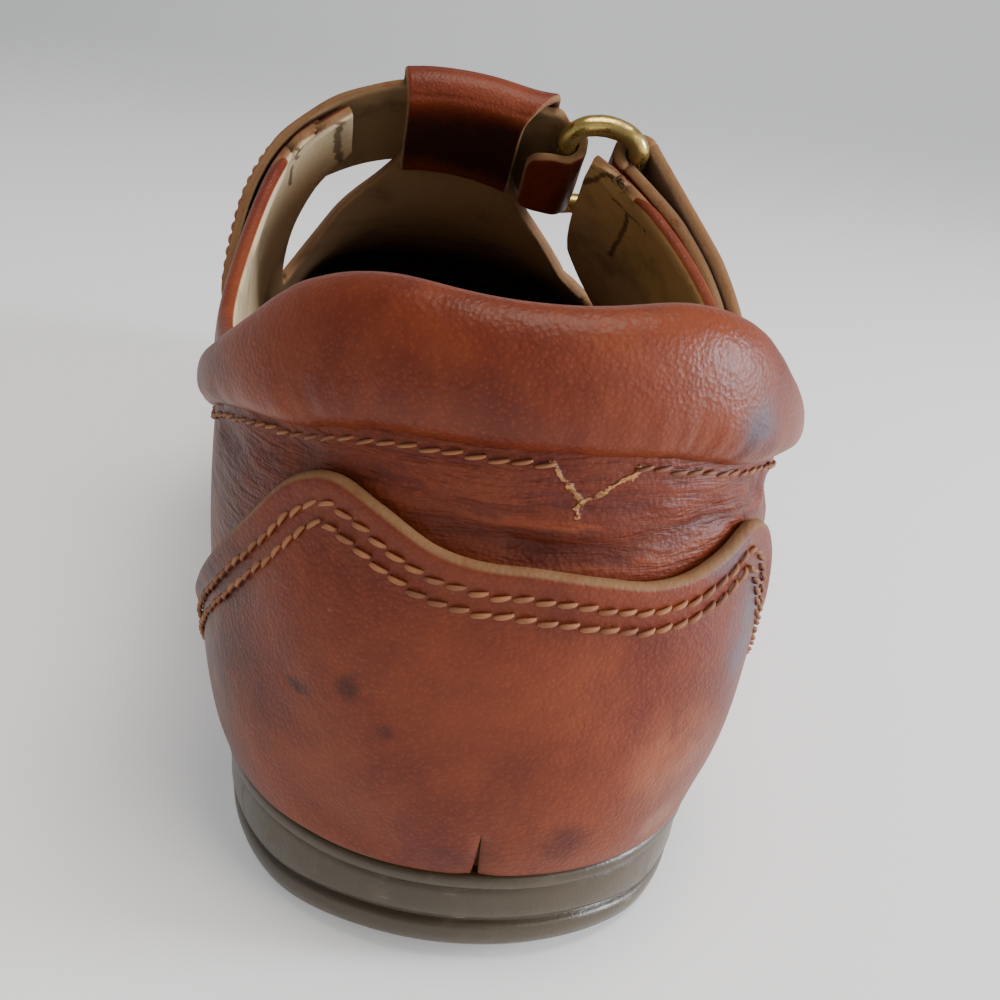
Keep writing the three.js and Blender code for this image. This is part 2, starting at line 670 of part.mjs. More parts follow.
function outsole() {
  const tread = (extra) => (y) => treadHeight(y) + extra;
  const rings = [
    edgeRing(SOLE_PROUD - SOLE_ROUND - GROOVE_DEPTH, tread(0)),
    edgeRing(SOLE_PROUD - SOLE_ROUND * 0.55, tread(SOLE_ROUND * 0.22)),
    edgeRing(SOLE_PROUD - GROOVE_DEPTH * 0.9, tread(SOLE_ROUND)),
    edgeRing(SOLE_PROUD - GROOVE_DEPTH * 0.5, tread(GROOVE_HEIGHT - GROOVE_DEPTH)),
    edgeRing(SOLE_PROUD - GROOVE_DEPTH * 1.4, tread(GROOVE_HEIGHT)),
    edgeRing(SOLE_PROUD - GROOVE_DEPTH * 0.3, tread(GROOVE_HEIGHT + GROOVE_DEPTH)),
    edgeRing(SOLE_PROUD - GROOVE_DEPTH * 0.5, (y) => lipHeight(y) - LIP_HEIGHT),
    edgeRing(SOLE_PROUD, (y) => lipHeight(y) - LIP_HEIGHT * 0.7),
    edgeRing(SOLE_PROUD, (y) => lipHeight(y) - LIP_HEIGHT * 0.2),
    edgeRing(SOLE_PROUD - LIP_HEIGHT * 0.3, lipHeight),
  ];
  const treadMiddle = hubs(treadHeight).map((point) => point.setX(point.x + TREAD_CROWN));
  let sole = stack(rings, treadMiddle, hubs(lipHeight));
  for (const field of TREAD_FIELDS) {
    const count = Math.max(1, Math.floor((field.to - field.from) * LENGTH / TREAD_PITCH));
    for (let k = 0; k < count; k += 1) {
      const y = station((field.from + field.to) / 2) + (k - (count - 1) / 2) * TREAD_PITCH;
      sole = sole.subtract(treadChannel(y));
    }
  }
  return sole;
}

function treadChannel(y) {
  const from = -halfWidth(-1, y) + TREAD_MARGIN;
  const to = halfWidth(1, y) - TREAD_MARGIN;
  const channel = new THREE.BoxGeometry(to - from, TREAD_WIDTH, 2 * TREAD_DEPTH);
  channel.translate((from + to) / 2, y, treadHeight(y));
  return solidFrom(channel);
}

function footbed() {
  const inside = -(UPPER_WALL + FOOTBED_GAP);
  const level = (height) => (y) => lipHeight(y) + 2 * CLEARANCE + height;
  const rings = [
    edgeRing(inside - FOOTBED_DISH, level(0)),
    edgeRing(inside, level(FOOTBED_THICKNESS * 0.3)),
    edgeRing(inside, level(FOOTBED_THICKNESS * 0.85)),
    edgeRing(inside - FOOTBED_DISH, level(FOOTBED_THICKNESS)),
    edgeRing(inside - 5 * FOOTBED_DISH, level(FOOTBED_THICKNESS - FOOTBED_DISH * 0.8)),
  ];
  return stack(rings, hubs(level(0)), hubs(level(FOOTBED_THICKNESS - FOOTBED_DISH)));
}

// The heel counter: a second layer of leather over the heel, scalloped along its top, with a dart

function heelCounter() {
  const lastTurn = SCALLOP.at(-1).turn;
  const turns = AROUND.filter(({ side, turn }) => side > 0 && turn < lastTurn).map(({ turn }) => turn);
  const lateral = [...turns, lastTurn].map((turn) => ({ side: 1, turn }));
  const medial = lateral.slice(1).reverse().map(({ turn }) => ({ side: -1, turn }));
  const places = [...medial, ...lateral];
  const layer = (lift) => places.map(({ side, turn }) => {
    const share = read(SCALLOP, 'turn', sideWord(side), turn);
    const top = riseTo(side, turn, () => COUNTER_HEIGHT * share);
    const foot = footing(side, turn);
    const low = lipHeight(foot.y) + CLEARANCE;
    const outward = normal(side, turn, 0).setZ(0).normalize();
    const base = new THREE.Vector3(foot.x, foot.y, low).addScaledVector(outward, lift);
    return Array.from({ length: COUNTER_STEPS + 1 }, (_, k) => {
      const point = skin(side, turn, top * k / COUNTER_STEPS, lift);
      return k === 0 || point.z < low ? base.clone().setZ(low + k * CLEARANCE) : point;
    });
  });
  const counter = sheet(layer(CLEARANCE + COUNTER_THICKNESS), layer(CLEARANCE));
  const dart = new THREE.Shape([
    new THREE.Vector2(-DART_WIDTH / 2, lipHeight(-HEEL_BACK)),
    new THREE.Vector2(DART_WIDTH / 2, lipHeight(-HEEL_BACK)),
    new THREE.Vector2(0, lipHeight(-HEEL_BACK) + DART_HEIGHT),
  ]);
  const notch = new THREE.ExtrudeGeometry(dart, { depth: HEEL_BACK, bevelEnabled: false });
  notch.rotateX(Math.PI / 2);
  return counter.subtract(solidFrom(notch));
}

// The straps, the ring and the sleeve of the T-bar

// Points across a strap, from its rear edge to its front edge
function acrossStrap(row, lift) {
  const middle = STRAP_FORWARD - row.back * LENGTH;
  return Array.from({ length: BAND_STEPS }, (_, k) => {
    const share = (k / (BAND_STEPS - 1) - 0.5) * row.breadth;
    return wrap(row.girth, middle + share * STRAP_WIDTH, lift);
  });
}

// The ring's own axes: a across it from the inner to the outer bar, b along the bars, n out of it
const RING_OUTER_X = RING_INNER_X + RING_ACROSS * 0.9;
const ringCentre = onTop(RING_INNER_X, STRAP_FORWARD, CLEARANCE);
const ringAlong = onTop(RING_INNER_X, STRAP_FORWARD + STRAP_WIDTH / 2, 0)
  .sub(onTop(RING_INNER_X, STRAP_FORWARD - STRAP_WIDTH / 2, 0)).normalize();
const ringAcross = onTop(RING_OUTER_X, STRAP_FORWARD, RING_RAISE).sub(ringCentre);
ringAcross.addScaledVector(ringAlong, -ringAcross.dot(ringAlong)).normalize();
const ringOut = ringAcross.clone().cross(ringAlong);
const atRing = (a, b, n) => ringCentre.clone().addScaledVector(ringAcross, a)
  .addScaledVector(ringAlong, b).addScaledVector(ringOut, n);

function acrossRing(a, n, breadth) {
  return Array.from({ length: BAND_STEPS }, (_, k) => {
    const share = (k / (BAND_STEPS - 1) - 0.5) * breadth;
    return atRing(a, share * STRAP_WIDTH, n);
  });
}

function ring() {
  const halfAcross = RING_ACROSS / 2;
  const halfAlong = STRAP_WIDTH / 2 + CLEARANCE + RING_BEND;
  const path = [];
  const corners = [[1, -1], [1, 1], [-1, 1], [-1, -1]];
  corners.forEach(([signA, signB], corner) => {
    for (let k = 0; k <= CORNER_STEPS; k += 1) {
      const angle = (corner - 1 + k / CORNER_STEPS) * Math.PI / 2;
      const a = halfAcross + signA * (halfAcross - RING_BEND) + RING_BEND * Math.cos(angle);
      const b = signB * (halfAlong - RING_BEND) + RING_BEND * Math.sin(angle);
      path.push({ a, b, outA: Math.cos(angle), outB: Math.sin(angle) });
    }
    const next = corners[(corner + 1) % 4];
    if (signB !== next[1]) return;
    path.push({ a: halfAcross, b: signB * halfAlong, outA: 0, outB: signB });
  });
  const bow = (point) => {
    const beyond = clamp((Math.abs(point.b) - STRAP_WIDTH / 2 + RING_BEND) / RING_BEND, 0, 1);
    const between = 1 - ((point.a - halfAcross) / halfAcross) ** 2;
    return RING_BOW * ease(beyond) * Math.max(between, 0);
  };
  const loops = path.map((point) => Array.from({ length: ROD_SIDES }, (_, k) => {
    const angle = 2 * Math.PI * k / ROD_SIDES;
    const out = RING_ROD / 2 * Math.cos(angle);
    const high = bow(point) + RING_ROD / 2 * Math.sin(angle);
    return atRing(point.a + out * point.outA, point.b + out * point.outB, high);
  }));
  return rod(loops, true);
}

// The middle of the instep strap lies low in the sleeve and climbs to the top of the ring's inner bar
function strapLift(x) {
  const climb = ease(clamp((x - BAR_LATERAL + 1) / (RING_INNER_X - BAR_LATERAL + 1), 0, 1));
  const low = STRAP_LIFT + STRAP_THICKNESS / 2;
  const high = RING_ROD / 2 + 2 * CLEARANCE + STRAP_THICKNESS / 2;
  return low + (high - low) * climb;
}

function instepStrap() {
  const grid = INSTEP_STRAP.map((row) => acrossStrap(row, STRAP_LIFT + STRAP_THICKNESS / 2));
  for (const share of [0.35, 0.65]) {
    const x = BAR_LATERAL + (RING_INNER_X - BAR_LATERAL) * share;
    grid.push(Array.from({ length: BAND_STEPS }, (_, k) => {
      const y = STRAP_FORWARD + (k / (BAND_STEPS - 1) - 0.5) * STRAP_WIDTH;
      return onTop(x, y, strapLift(x));
    }));
  }
  const round = RING_ROD / 2 + CLEARANCE + STRAP_THICKNESS / 2;
  for (let k = 0; k <= BEND_STEPS; k += 1) {
    const angle = Math.PI * (0.5 - k / BEND_STEPS);
    grid.push(acrossRing(round * Math.cos(angle), round * Math.sin(angle), 1 - TAB_TAPER * k / BEND_STEPS));
  }
  TAB.forEach((row) => grid.push(acrossRing(-TAB_LENGTH * row.back, -round, row.breadth)));
  return band(grid, STRAP_THICKNESS);
}

function closureStrap() {
  const low = STRAP_LIFT + CLOSURE_THICKNESS / 2;
  const high = low + CLOSURE_THICKNESS + CLEARANCE;
  const round = RING_ROD / 2 + CLEARANCE + CLOSURE_THICKNESS / 2;
  const grid = CLOSURE_STRAP.map((row) => acrossStrap(row, low));
  for (let k = 0; k <= TURN_STEPS; k += 1) {
    const angle = Math.PI * (CLOSURE_TURN.from + (CLOSURE_TURN.to - CLOSURE_TURN.from) * k / TURN_STEPS);
    grid.push(acrossRing(RING_ACROSS + round * Math.cos(angle), round * Math.sin(angle), 1));
  }
  const outward = CLOSURE_STRAP.slice(0, -1).reverse();
  outward.forEach((row) => grid.push(acrossStrap(row, high)));
  return band(grid, CLOSURE_THICKNESS);
}

// The sleeve: the leather of the T-bar folded over the instep strap and down inside
function sleeve() {
  const half = SLEEVE_THICKNESS / 2;
  const legLift = -(UPPER_WALL + CLEARANCE + half);
  const front = STRAP_FORWARD + STRAP_WIDTH / 2;
  const rear = STRAP_REAR;
  const lateral = BAR_LATERAL + SLEEVE_OVERHANG;
  const grid = [];
  for (let column = 0; column <= SLEEVE_COLUMNS; column += 1) {
    const share = column / SLEEVE_COLUMNS;
    const topX = BAR_MEDIAL + (lateral - BAR_MEDIAL) * share;
    const legX = BAR_MEDIAL + (BAR_LATERAL - BAR_MEDIAL) * share;
    const topLift = strapLift(topX) + STRAP_THICKNESS / 2 + 1.5 * CLEARANCE + half;
    const row = [];
    const lowLift = CLEARANCE + half;
    for (const { ahead, up } of SLEEVE_FRONT) {
      row.push(onTop(topX, front + ahead * SLEEVE_THICKNESS, lowLift + (topLift - lowLift) * up));
    }
    for (const back of SLEEVE_ON_STRAP) {
      row.push(onTop(topX, front + (rear - front) * back, topLift));
    }
    const middle = (topLift + legLift) / 2;
    const radius = (topLift - legLift) / 2;
    for (let k = 1; k < BEND_STEPS; k += 1) {
      const angle = Math.PI * k / BEND_STEPS;
      const x = topX + (legX - topX) * ease(k / BEND_STEPS);
      row.push(onTop(x, rear - radius * 0.9 * Math.sin(angle), middle + radius * Math.cos(angle)));
    }
    for (const forward of SLEEVE_INSIDE) {
      row.push(onTop(legX, rear + SLEEVE_LEG * forward, legLift));
    }
    grid.push(row);
  }
  return band(grid, SLEEVE_THICKNESS);
}

// Each piece with the colour and finish of its material

const group = new THREE.Group();

function addPiece(name, piece, finish) {
  const mesh = piece.getMesh();
  const geometry = new THREE.BufferGeometry();
  const points = new Float32Array(mesh.numVert * 3);
  for (let k = 0; k < mesh.numVert; k += 1) {
    for (let axis = 0; axis < 3; axis += 1) {
      points[3 * k + axis] = mesh.vertProperties[mesh.numProp * k + axis];
    }
  }
  geometry.setAttribute('position', new THREE.BufferAttribute(points, 3));
  geometry.setIndex(new THREE.BufferAttribute(new Uint32Array(mesh.triVerts), 1));
  geometry.computeVertexNormals();
  const part = new THREE.Mesh(geometry, new THREE.MeshStandardMaterial(finish));
  part.name = name;
  group.add(part);
}

const TAN_LEATHER = { color: 0x9a4a26, roughness: 0.42, metalness: 0 };
const BROWN_LEATHER = { color: 0x7c3a24, roughness: 0.5, metalness: 0 };
const OLIVE_RUBBER = { color: 0x5e5142, roughness: 0.55, metalness: 0 };
const DARK_LINING = { color: 0x2b241f, roughness: 0.85, metalness: 0 };
const BRASS = { color: 0x9c8645, roughness: 0.35, metalness: 0.9 };

addPiece('outsole', outsole(), OLIVE_RUBBER);
addPiece('footbed', footbed(), DARK_LINING);
addPiece('upper', upper(), TAN_LEATHER);
addPiece('heel_counter', heelCounter(), TAN_LEATHER);
addPiece('t_bar_sleeve', sleeve(), BROWN_LEATHER);
addPiece('instep_strap', instepStrap(), BROWN_LEATHER);
addPiece('closure_strap', closureStrap(), TAN_LEATHER);
addPiece('ring', ring(), BRASS);

export default group;
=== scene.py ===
import math

import bpy
import numpy as np
from mathutils import Matrix, Vector


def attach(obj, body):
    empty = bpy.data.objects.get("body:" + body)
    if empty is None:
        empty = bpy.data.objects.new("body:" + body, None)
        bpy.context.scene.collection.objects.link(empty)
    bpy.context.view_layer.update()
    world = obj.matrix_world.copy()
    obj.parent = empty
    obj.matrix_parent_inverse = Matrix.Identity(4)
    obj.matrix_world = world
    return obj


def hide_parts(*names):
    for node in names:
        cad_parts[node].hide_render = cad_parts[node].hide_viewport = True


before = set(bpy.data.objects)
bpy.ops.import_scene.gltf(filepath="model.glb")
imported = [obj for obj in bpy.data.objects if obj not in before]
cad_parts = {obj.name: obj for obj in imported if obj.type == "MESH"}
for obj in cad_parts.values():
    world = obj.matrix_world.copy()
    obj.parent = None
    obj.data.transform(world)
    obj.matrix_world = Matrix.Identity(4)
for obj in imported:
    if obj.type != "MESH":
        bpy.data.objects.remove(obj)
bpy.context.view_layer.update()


# THE LAST
# The foot form that every piece is cut and stretched over. It isn't in the shoe, but each leather
# piece is placed on it by how far it has gone round the sole edge and how far up the side it is.
# All sizes are in millimetres, and turn into metres when a mesh is made.

MM = 0.001
LENGTH = 270.0
HEEL_BACK = 34.0
BALL_WIDTH = 96.0
INSTEP_HEIGHT = 94.0
COLLAR_HEIGHT = 84.0
SOLE_HEIGHT = 14.0
TOE_SPRING = 10.0
HEEL_FAN = 6.0
TOE_FAN = 0.7 * LENGTH - HEEL_BACK
HEEL_SQUARENESS = 2.15
TOE_SQUARENESS = {"medial": 2.7, "lateral": 2.15}

# Half widths and centre line of the sole edge, shares of the ball's width
OUTLINE = {
    "along": [0.148, 0.200, 0.300, 0.420, 0.482, 0.563, 0.620, 0.700],
    "medial": [0.330, 0.318, 0.300, 0.292, 0.305, 0.350, 0.395, 0.430],
    "lateral": [0.330, 0.333, 0.345, 0.385, 0.410, 0.448, 0.475, 0.490],
    "centre": [0.000, -0.006, -0.030, -0.068, -0.083, -0.090, -0.085, -0.070],
}
# Sections of the form: ridge and side are shares of the instep's height, the rest of the ball's width
FORM = {
    "along": [0.000, 0.148, 0.200, 0.300, 0.420, 0.482, 0.563, 0.620, 0.700, 0.850, 1.000],
    "ridge": [1.60, 1.60, 1.60, 1.25, 1.09, 1.00, 0.84, 0.735, 0.64, 0.53, 0.44],
    "side": [0.28, 0.28, 0.29, 0.33, 0.36, 0.40, 0.31, 0.25, 0.20, 0.18, 0.17],
    "swell_medial": [0.12, 0.16, 0.21, 0.31, 0.29, 0.27, 0.21, 0.12, 0.06, 0.03, 0.02],
    "swell_lateral": [0.12, 0.17, 0.21, 0.29, 0.22, 0.15, 0.10, 0.07, 0.06, 0.03, 0.02],
    "crown_medial": [0.417, 0.335, 0.330, 0.350, 0.370, 0.375, 0.333, 0.310, 0.290, 0.380, 0.490],
    "crown_lateral": [0.417, 0.335, 0.345, 0.410, 0.440, 0.450, 0.330, 0.310, 0.320, 0.380, 0.490],
}
LIP = {
    "along": [0.00, 0.30, 0.50, 0.70, 0.85, 1.00],
    "height": [1.00, 1.05, 1.18, 1.42, 1.68, 2.05],
}
TREAD = {
    "along": [0.00, 0.05, 0.24, 0.38, 0.46, 0.55, 0.70, 0.84, 1.00],
    "height": [0.16, 0.00, 0.00, 0.32, 0.30, 0.00, 0.00, 0.28, 1.00],
}
TOPLINE = {
    "along": [-0.020, 0.014, 0.037, 0.070, 0.098, 0.145, 0.200, 0.256,
              0.304, 0.350, 0.385, 0.422, 0.460, 0.482],
    "height": [0.985, 1.005, 0.975, 0.893, 0.838, 0.780, 0.732, 0.710,
               0.728, 0.790, 0.852, 0.925, 1.020, 1.110],
}


def along(y):
    return (y + HEEL_BACK) / LENGTH


def station(share):
    return share * LENGTH - HEEL_BACK


def ease(t):
    return t * t * (3 - 2 * t)


def fade(value, low, high):
    """0 at low, 1 at high and smooth between them; low may be the larger."""
    return ease(np.clip((value - low) / (high - low), 0, 1))


def read(table, column, place, key="along"):
    """The smooth value of a table's column between its rows."""
    keys = np.array(table[key])
    values = np.array(table[column])
    spans = np.diff(keys)
    climbs = np.diff(values) / spans
    slopes = np.zeros(len(keys))
    slopes[1:-1] = (climbs[:-1] * spans[1:] + climbs[1:] * spans[:-1]) / (spans[:-1] + spans[1:])
    here = np.clip(place, keys[0], keys[-1])
    row = np.clip(np.searchsorted(keys, here, side="right") - 1, 0, len(keys) - 2)
    t = (here - keys[row]) / spans[row]
    u = 1 - t
    return (u * u * (1 + 2 * t) * values[row] + t * u * u * spans[row] * slopes[row]
            + t * t * (1 + 2 * u) * values[row + 1] - t * t * u * spans[row] * slopes[row + 1])


def tread_height(y):
    keys = np.array(TREAD["along"])
    values = np.array(TREAD["height"])
    here = np.clip(along(y), 0, 1)
    row = np.clip(np.searchsorted(keys, here, side="right") - 1, 0, len(keys) - 2)
    t = (here - keys[row]) / (keys[row + 1] - keys[row])
    return TOE_SPRING * (values[row] + (values[row + 1] - values[row]) * ease(t))


def lip_height(y):
    return SOLE_HEIGHT * read(LIP, "height", along(y))


def ridge_height(y):
    return INSTEP_HEIGHT * read(FORM, "ridge", along(y))


def ridge_slope(y):
    return (ridge_height(y + 1) - ridge_height(y - 1)) / 2


def topline_height(y):
    return COLLAR_HEIGHT * read(TOPLINE, "height", along(y))


def centre_line(y):
    return BALL_WIDTH * read(OUTLINE, "centre", along(y))


def by_side(table, word, side, place):
    stem = word + "_" if word else ""
    medial = read(table, stem + "medial", place)
    lateral = read(table, stem + "lateral", place)
    return np.where(side < 0, medial, lateral)


def square_round(angle, squareness):
    sine = np.abs(np.sin(angle))
    cosine = np.abs(np.cos(angle))
    push = (sine ** squareness + cosine ** squareness) ** (-1 / squareness)
    return sine * push, cosine * push


def footing(around):
    """A point of the sole edge, and the hub on the centre line that its section runs to. Around is 0 at
    the back of the heel and 3 at the tip of the toe, and is below 0 on the inner side of the foot."""
    around = np.asarray(around, float)
    side = np.where(around < 0, -1.0, 1.0)
    turn = np.abs(around)
    sine, cosine = square_round(np.minimum(turn, 1) * np.pi / 2, HEEL_SQUARENESS)
    heel_x = side * BALL_WIDTH * by_side(OUTLINE, "", side, along(HEEL_FAN)) * sine
    heel_y = HEEL_FAN - (HEEL_FAN + HEEL_BACK) * cosine
    side_y = HEEL_FAN + (np.clip(turn, 1, 2) - 1) * (TOE_FAN - HEEL_FAN)
    side_x = side * BALL_WIDTH * by_side(OUTLINE, "", side, along(side_y))
    squareness = np.where(side < 0, TOE_SQUARENESS["medial"], TOE_SQUARENESS["lateral"])
    sine, cosine = square_round((np.clip(turn, 2, 3) - 2) * np.pi / 2, squareness)
    hub = centre_line(TOE_FAN)
    toe_x = hub + (side * BALL_WIDTH * by_side(OUTLINE, "", side, along(TOE_FAN)) - hub) * cosine
    toe_y = TOE_FAN + (LENGTH - HEEL_BACK - TOE_FAN) * sine
    places = [turn < 1, turn <= 2]
    x = np.select(places, [heel_x, side_x], toe_x)
    y = np.select(places, [heel_y, side_y], toe_y)
    hub_x = np.select(places, [0 * heel_x, centre_line(side_y)], hub)
    hub_y = np.select(places, [0 * heel_y + HEEL_FAN, side_y], TOE_FAN)
    return x, y, hub_x, hub_y


def face(around, rise):
    """A point of the form's face: rise is 0 at the sole edge and 1 on the ridge."""
    around = np.asarray(around, float)
    side = np.where(around < 0, -1.0, 1.0)
    x, y, hub_x, hub_y = footing(around)
    place = along(y)
    reach = np.hypot(x - hub_x, y - hub_y)
    out_x = (x - hub_x) / reach
    out_y = (y - hub_y) / reach
    swell = BALL_WIDTH * by_side(FORM, "swell", side, place)
    crown = BALL_WIDTH * by_side(FORM, "crown", side, place)
    low = lip_height(y)
    high = ridge_height(hub_y)
    left = 1 - rise
    weights = [left ** 3, 3 * left * left * rise, 3 * left * rise * rise, rise ** 3]
    out = weights[0] * reach + weights[1] * (reach + swell) + weights[2] * crown
    z = (weights[0] * low + weights[1] * (low + INSTEP_HEIGHT * read(FORM, "side", place))
         + weights[2] * (high + ridge_slope(hub_y) * out_y * crown) + weights[3] * high)
    return np.stack([hub_x + out_x * out, hub_y + out_y * out, z], -1)


def unit(vectors):
    return vectors / np.maximum(np.linalg.norm(vectors, axis=-1, keepdims=True), 1e-9)


def normal(around, rise):
    """The outward normal of that face."""
    around, rise = np.broadcast_arrays(np.asarray(around, float), np.asarray(rise, float))
    small = 0.004
    here = np.clip(rise, small, 1 - 3 * small)
    side = np.where(around < 0, -1.0, 1.0)
    turn = np.abs(around)
    forward = face(side * np.minimum(turn + small, 3), here) - face(side * np.maximum(turn - small, 0), here)
    upward = face(around, here + small) - face(around, here - small)
    found = unit(np.cross(forward, upward) * side[..., None])
    _, _, _, hub_y = footing(around)
    crest = unit(np.stack([0 * hub_y, -ridge_slope(hub_y), 1 + 0 * hub_y], -1))
    found = np.where((rise >= 1)[..., None], crest, found)
    ends = (turn <= 0) | (turn >= 3)
    found[..., 0] = np.where(ends, 0, found[..., 0])
    return unit(found)


def skin(around, rise, lift):
    """A point at a distance outside the face, or inside it where lift is below 0."""
    return face(around, rise) + normal(around, rise) * np.asarray(lift, float)[..., None]


def around_at(side, y):
    return side * (1 + (y - HEEL_FAN) / (TOE_FAN - HEEL_FAN))


def wrap(girth, y, lift):
    """The same by girth, from -1 at the inner sole edge over the ridge to 1, and distance forward."""
    girth, y = np.broadcast_arrays(np.asarray(girth, float), np.asarray(y, float))
    side = np.where(girth < 0, -1.0, 1.0)
    return skin(around_at(side, y), 1 - np.abs(girth), lift)


def rise_to(around, height_at):
    """The rise where the face first meets a height, which may change along the shoe."""
    low = np.zeros(np.shape(around))
    high = np.ones(np.shape(around))
    for _ in range(26):
        middle = (low + high) / 2
        point = face(around, middle)
        under = point[..., 2] < height_at(point[..., 1])
        low = np.where(under, middle, low)
        high = np.where(under, high, middle)
    return (low + high) / 2


def girth_at(x, y):
    """The girth of a point near the ridge that lies at a given x."""
    x, y = np.broadcast_arrays(np.asarray(x, float), np.asarray(y, float))
    side = np.where(x < centre_line(y), -1.0, 1.0)
    low = np.zeros(x.shape)
    high = np.full(x.shape, 0.6)
    for _ in range(26):
        middle = (low + high) / 2
        reached = np.abs(face(around_at(side, y), 1 - middle)[..., 0] - centre_line(y))
        inside = reached < np.abs(x - centre_line(y))
        low = np.where(inside, middle, low)
        high = np.where(inside, high, middle)
    return side * (low + high) / 2


def on_top(x, y, lift):
    return wrap(girth_at(x, y), y, lift)


# OUTSOLE
# One moulded rubber unit: a round-bottomed side with a thin proud lip that the upper sits in, a
# groove low on the side that runs all the way round, and cross channels under the heel and ball.

CHANNEL = {"pitch": 11.0, "width": 3.0, "depth": 1.4, "margin": 9.6}
CHANNEL_FIELDS = [(0.07, 0.225), (0.565, 0.70)]
# The side's section: how far out from the upper's edge, then its height above the tread
SIDE_FOOT = {
    "out": [-5.2, -3.2, -1.7, -0.65, 0.00, 0.36, 0.50, 0.44, 0.10, -0.32, -0.44, -0.30, 0.12, 0.62, 0.92],
    "up": [0.00, 0.05, 0.22, 0.62, 1.35, 2.30, 3.20, 3.80, 4.20, 4.45, 4.65, 4.85, 5.08, 5.45, 6.30],
}
# and its upper part, by its depth below the lip's top
SIDE_TOP = {
    "out": [1.05, 1.05, 0.92, 0.70, 0.66, 0.95, 1.45, 1.76, 1.80, 1.66, 1.30, 0.60, -0.60],
    "down": [5.20, 3.60, 2.90, 2.55, 2.35, 2.16, 2.02, 1.70, 1.15, 0.55, 0.22, 0.04, 0.00],
}


def places_around(heel, side, toe):
    turns = np.concatenate([
        np.arange(heel) / heel,
        1 + np.arange(side) / side,
        2 + np.arange(toe + 1) / toe,
    ])
    return np.concatenate([turns, -turns[-2:0:-1]])


def edge_ring(places, out, height):
    """A ring of points level with the sole edge, a distance outside it, at each one's own height."""
    x, y, _, _ = footing(places)
    outward = normal(places, np.zeros(len(places)))
    outward[:, 2] = 0
    point = np.stack([x, y, np.zeros(len(x))], -1) + unit(outward) * out
    point[:, 2] = height(y)
    return point


def hub_ring(places, height):
    _, _, x, y = footing(places)
    return np.stack([x, y, height(y)], -1)


def grid_quads(rows, columns, closed=False):
    """Corner numbers of the quads of a grid of points, whose rows may join end to end."""
    i, j = np.meshgrid(np.arange(rows - 1), np.arange(columns if closed else columns - 1), indexing="ij")
    i, j = i.ravel(), j.ravel()
    after = (j + 1) % columns
    here, above = i * columns, (i + 1) * columns
    return np.stack([here + j, here + after, above + after, above + j], -1)


def make_piece(name, points, quads, nodes, slot, **attributes):
    """A mesh object that rides with the shoe and takes the place of CAD nodes. Points are in
    millimetres, and attributes are values at each point for the material to read."""
    clean = []
    for quad in quads.tolist():
        corners = [c for k, c in enumerate(quad) if c != quad[k - 1]]
        if len(set(corners)) == len(corners) > 2:
            clean.append(corners)
    mesh = bpy.data.meshes.new(name)
    mesh.from_pydata((points * MM).tolist(), [], clean)
    mesh.polygons.foreach_set("use_smooth", [True] * len(mesh.polygons))
    for word, values in attributes.items():
        layer = mesh.attributes.new(word, "FLOAT", "POINT")
        layer.data.foreach_set("value", np.asarray(values, np.float32))
    mesh.validate()
    piece = bpy.data.objects.new(name, mesh)
    bpy.context.scene.collection.objects.link(piece)
    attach(piece, "root")
    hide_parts(*nodes)
    return piece


def sole_points():
    places = places_around(34, 84, 46)
    rings = []
    hub = hub_ring(places, tread_height)
    rim = edge_ring(places, SIDE_FOOT["out"][0], tread_height)
    for share in np.linspace(0, 1, 15)[:-1]:
        rings.append(hub + (rim - hub) * share)
    for out, up in zip(SIDE_FOOT["out"], SIDE_FOOT["up"]):
        rings.append(edge_ring(places, out, lambda y, up=up: tread_height(y) + up))
    for out, down in zip(SIDE_TOP["out"], SIDE_TOP["down"]):
        rings.append(edge_ring(places, out, lambda y, down=down: lip_height(y) - down))
    top = hub_ring(places, lip_height)
    for share in np.linspace(0, 1, 5)[1:]:
        rings.append(rings[len(rings) - 1] * (1 - share) + top * share)
    return np.stack(rings), len(places)


def channel_depth(points):
    """How deep the cross channels press into the tread at each point."""
    deep = np.zeros(points.shape[:-1])
    x, y = points[..., 0], points[..., 1]
    for start, end in CHANNEL_FIELDS:
        count = max(1, int((end - start) * LENGTH // CHANNEL["pitch"]))
        for k in range(count):
            middle = station((start + end) / 2) + (k - (count - 1) / 2) * CHANNEL["pitch"]
            half = CHANNEL["width"] / 2
            inner = -BALL_WIDTH * read(OUTLINE, "medial", along(middle)) + CHANNEL["margin"]
            outer = BALL_WIDTH * read(OUTLINE, "lateral", along(middle)) - CHANNEL["margin"]
            lengthwise = 1 - fade(np.abs(y - middle), half * 0.7, half * 1.3)
            crosswise = fade(x, inner - 1, inner + 1) * fade(x, outer + 1, outer - 1)
            deep = np.maximum(deep, CHANNEL["depth"] * lengthwise * crosswise)
    return deep


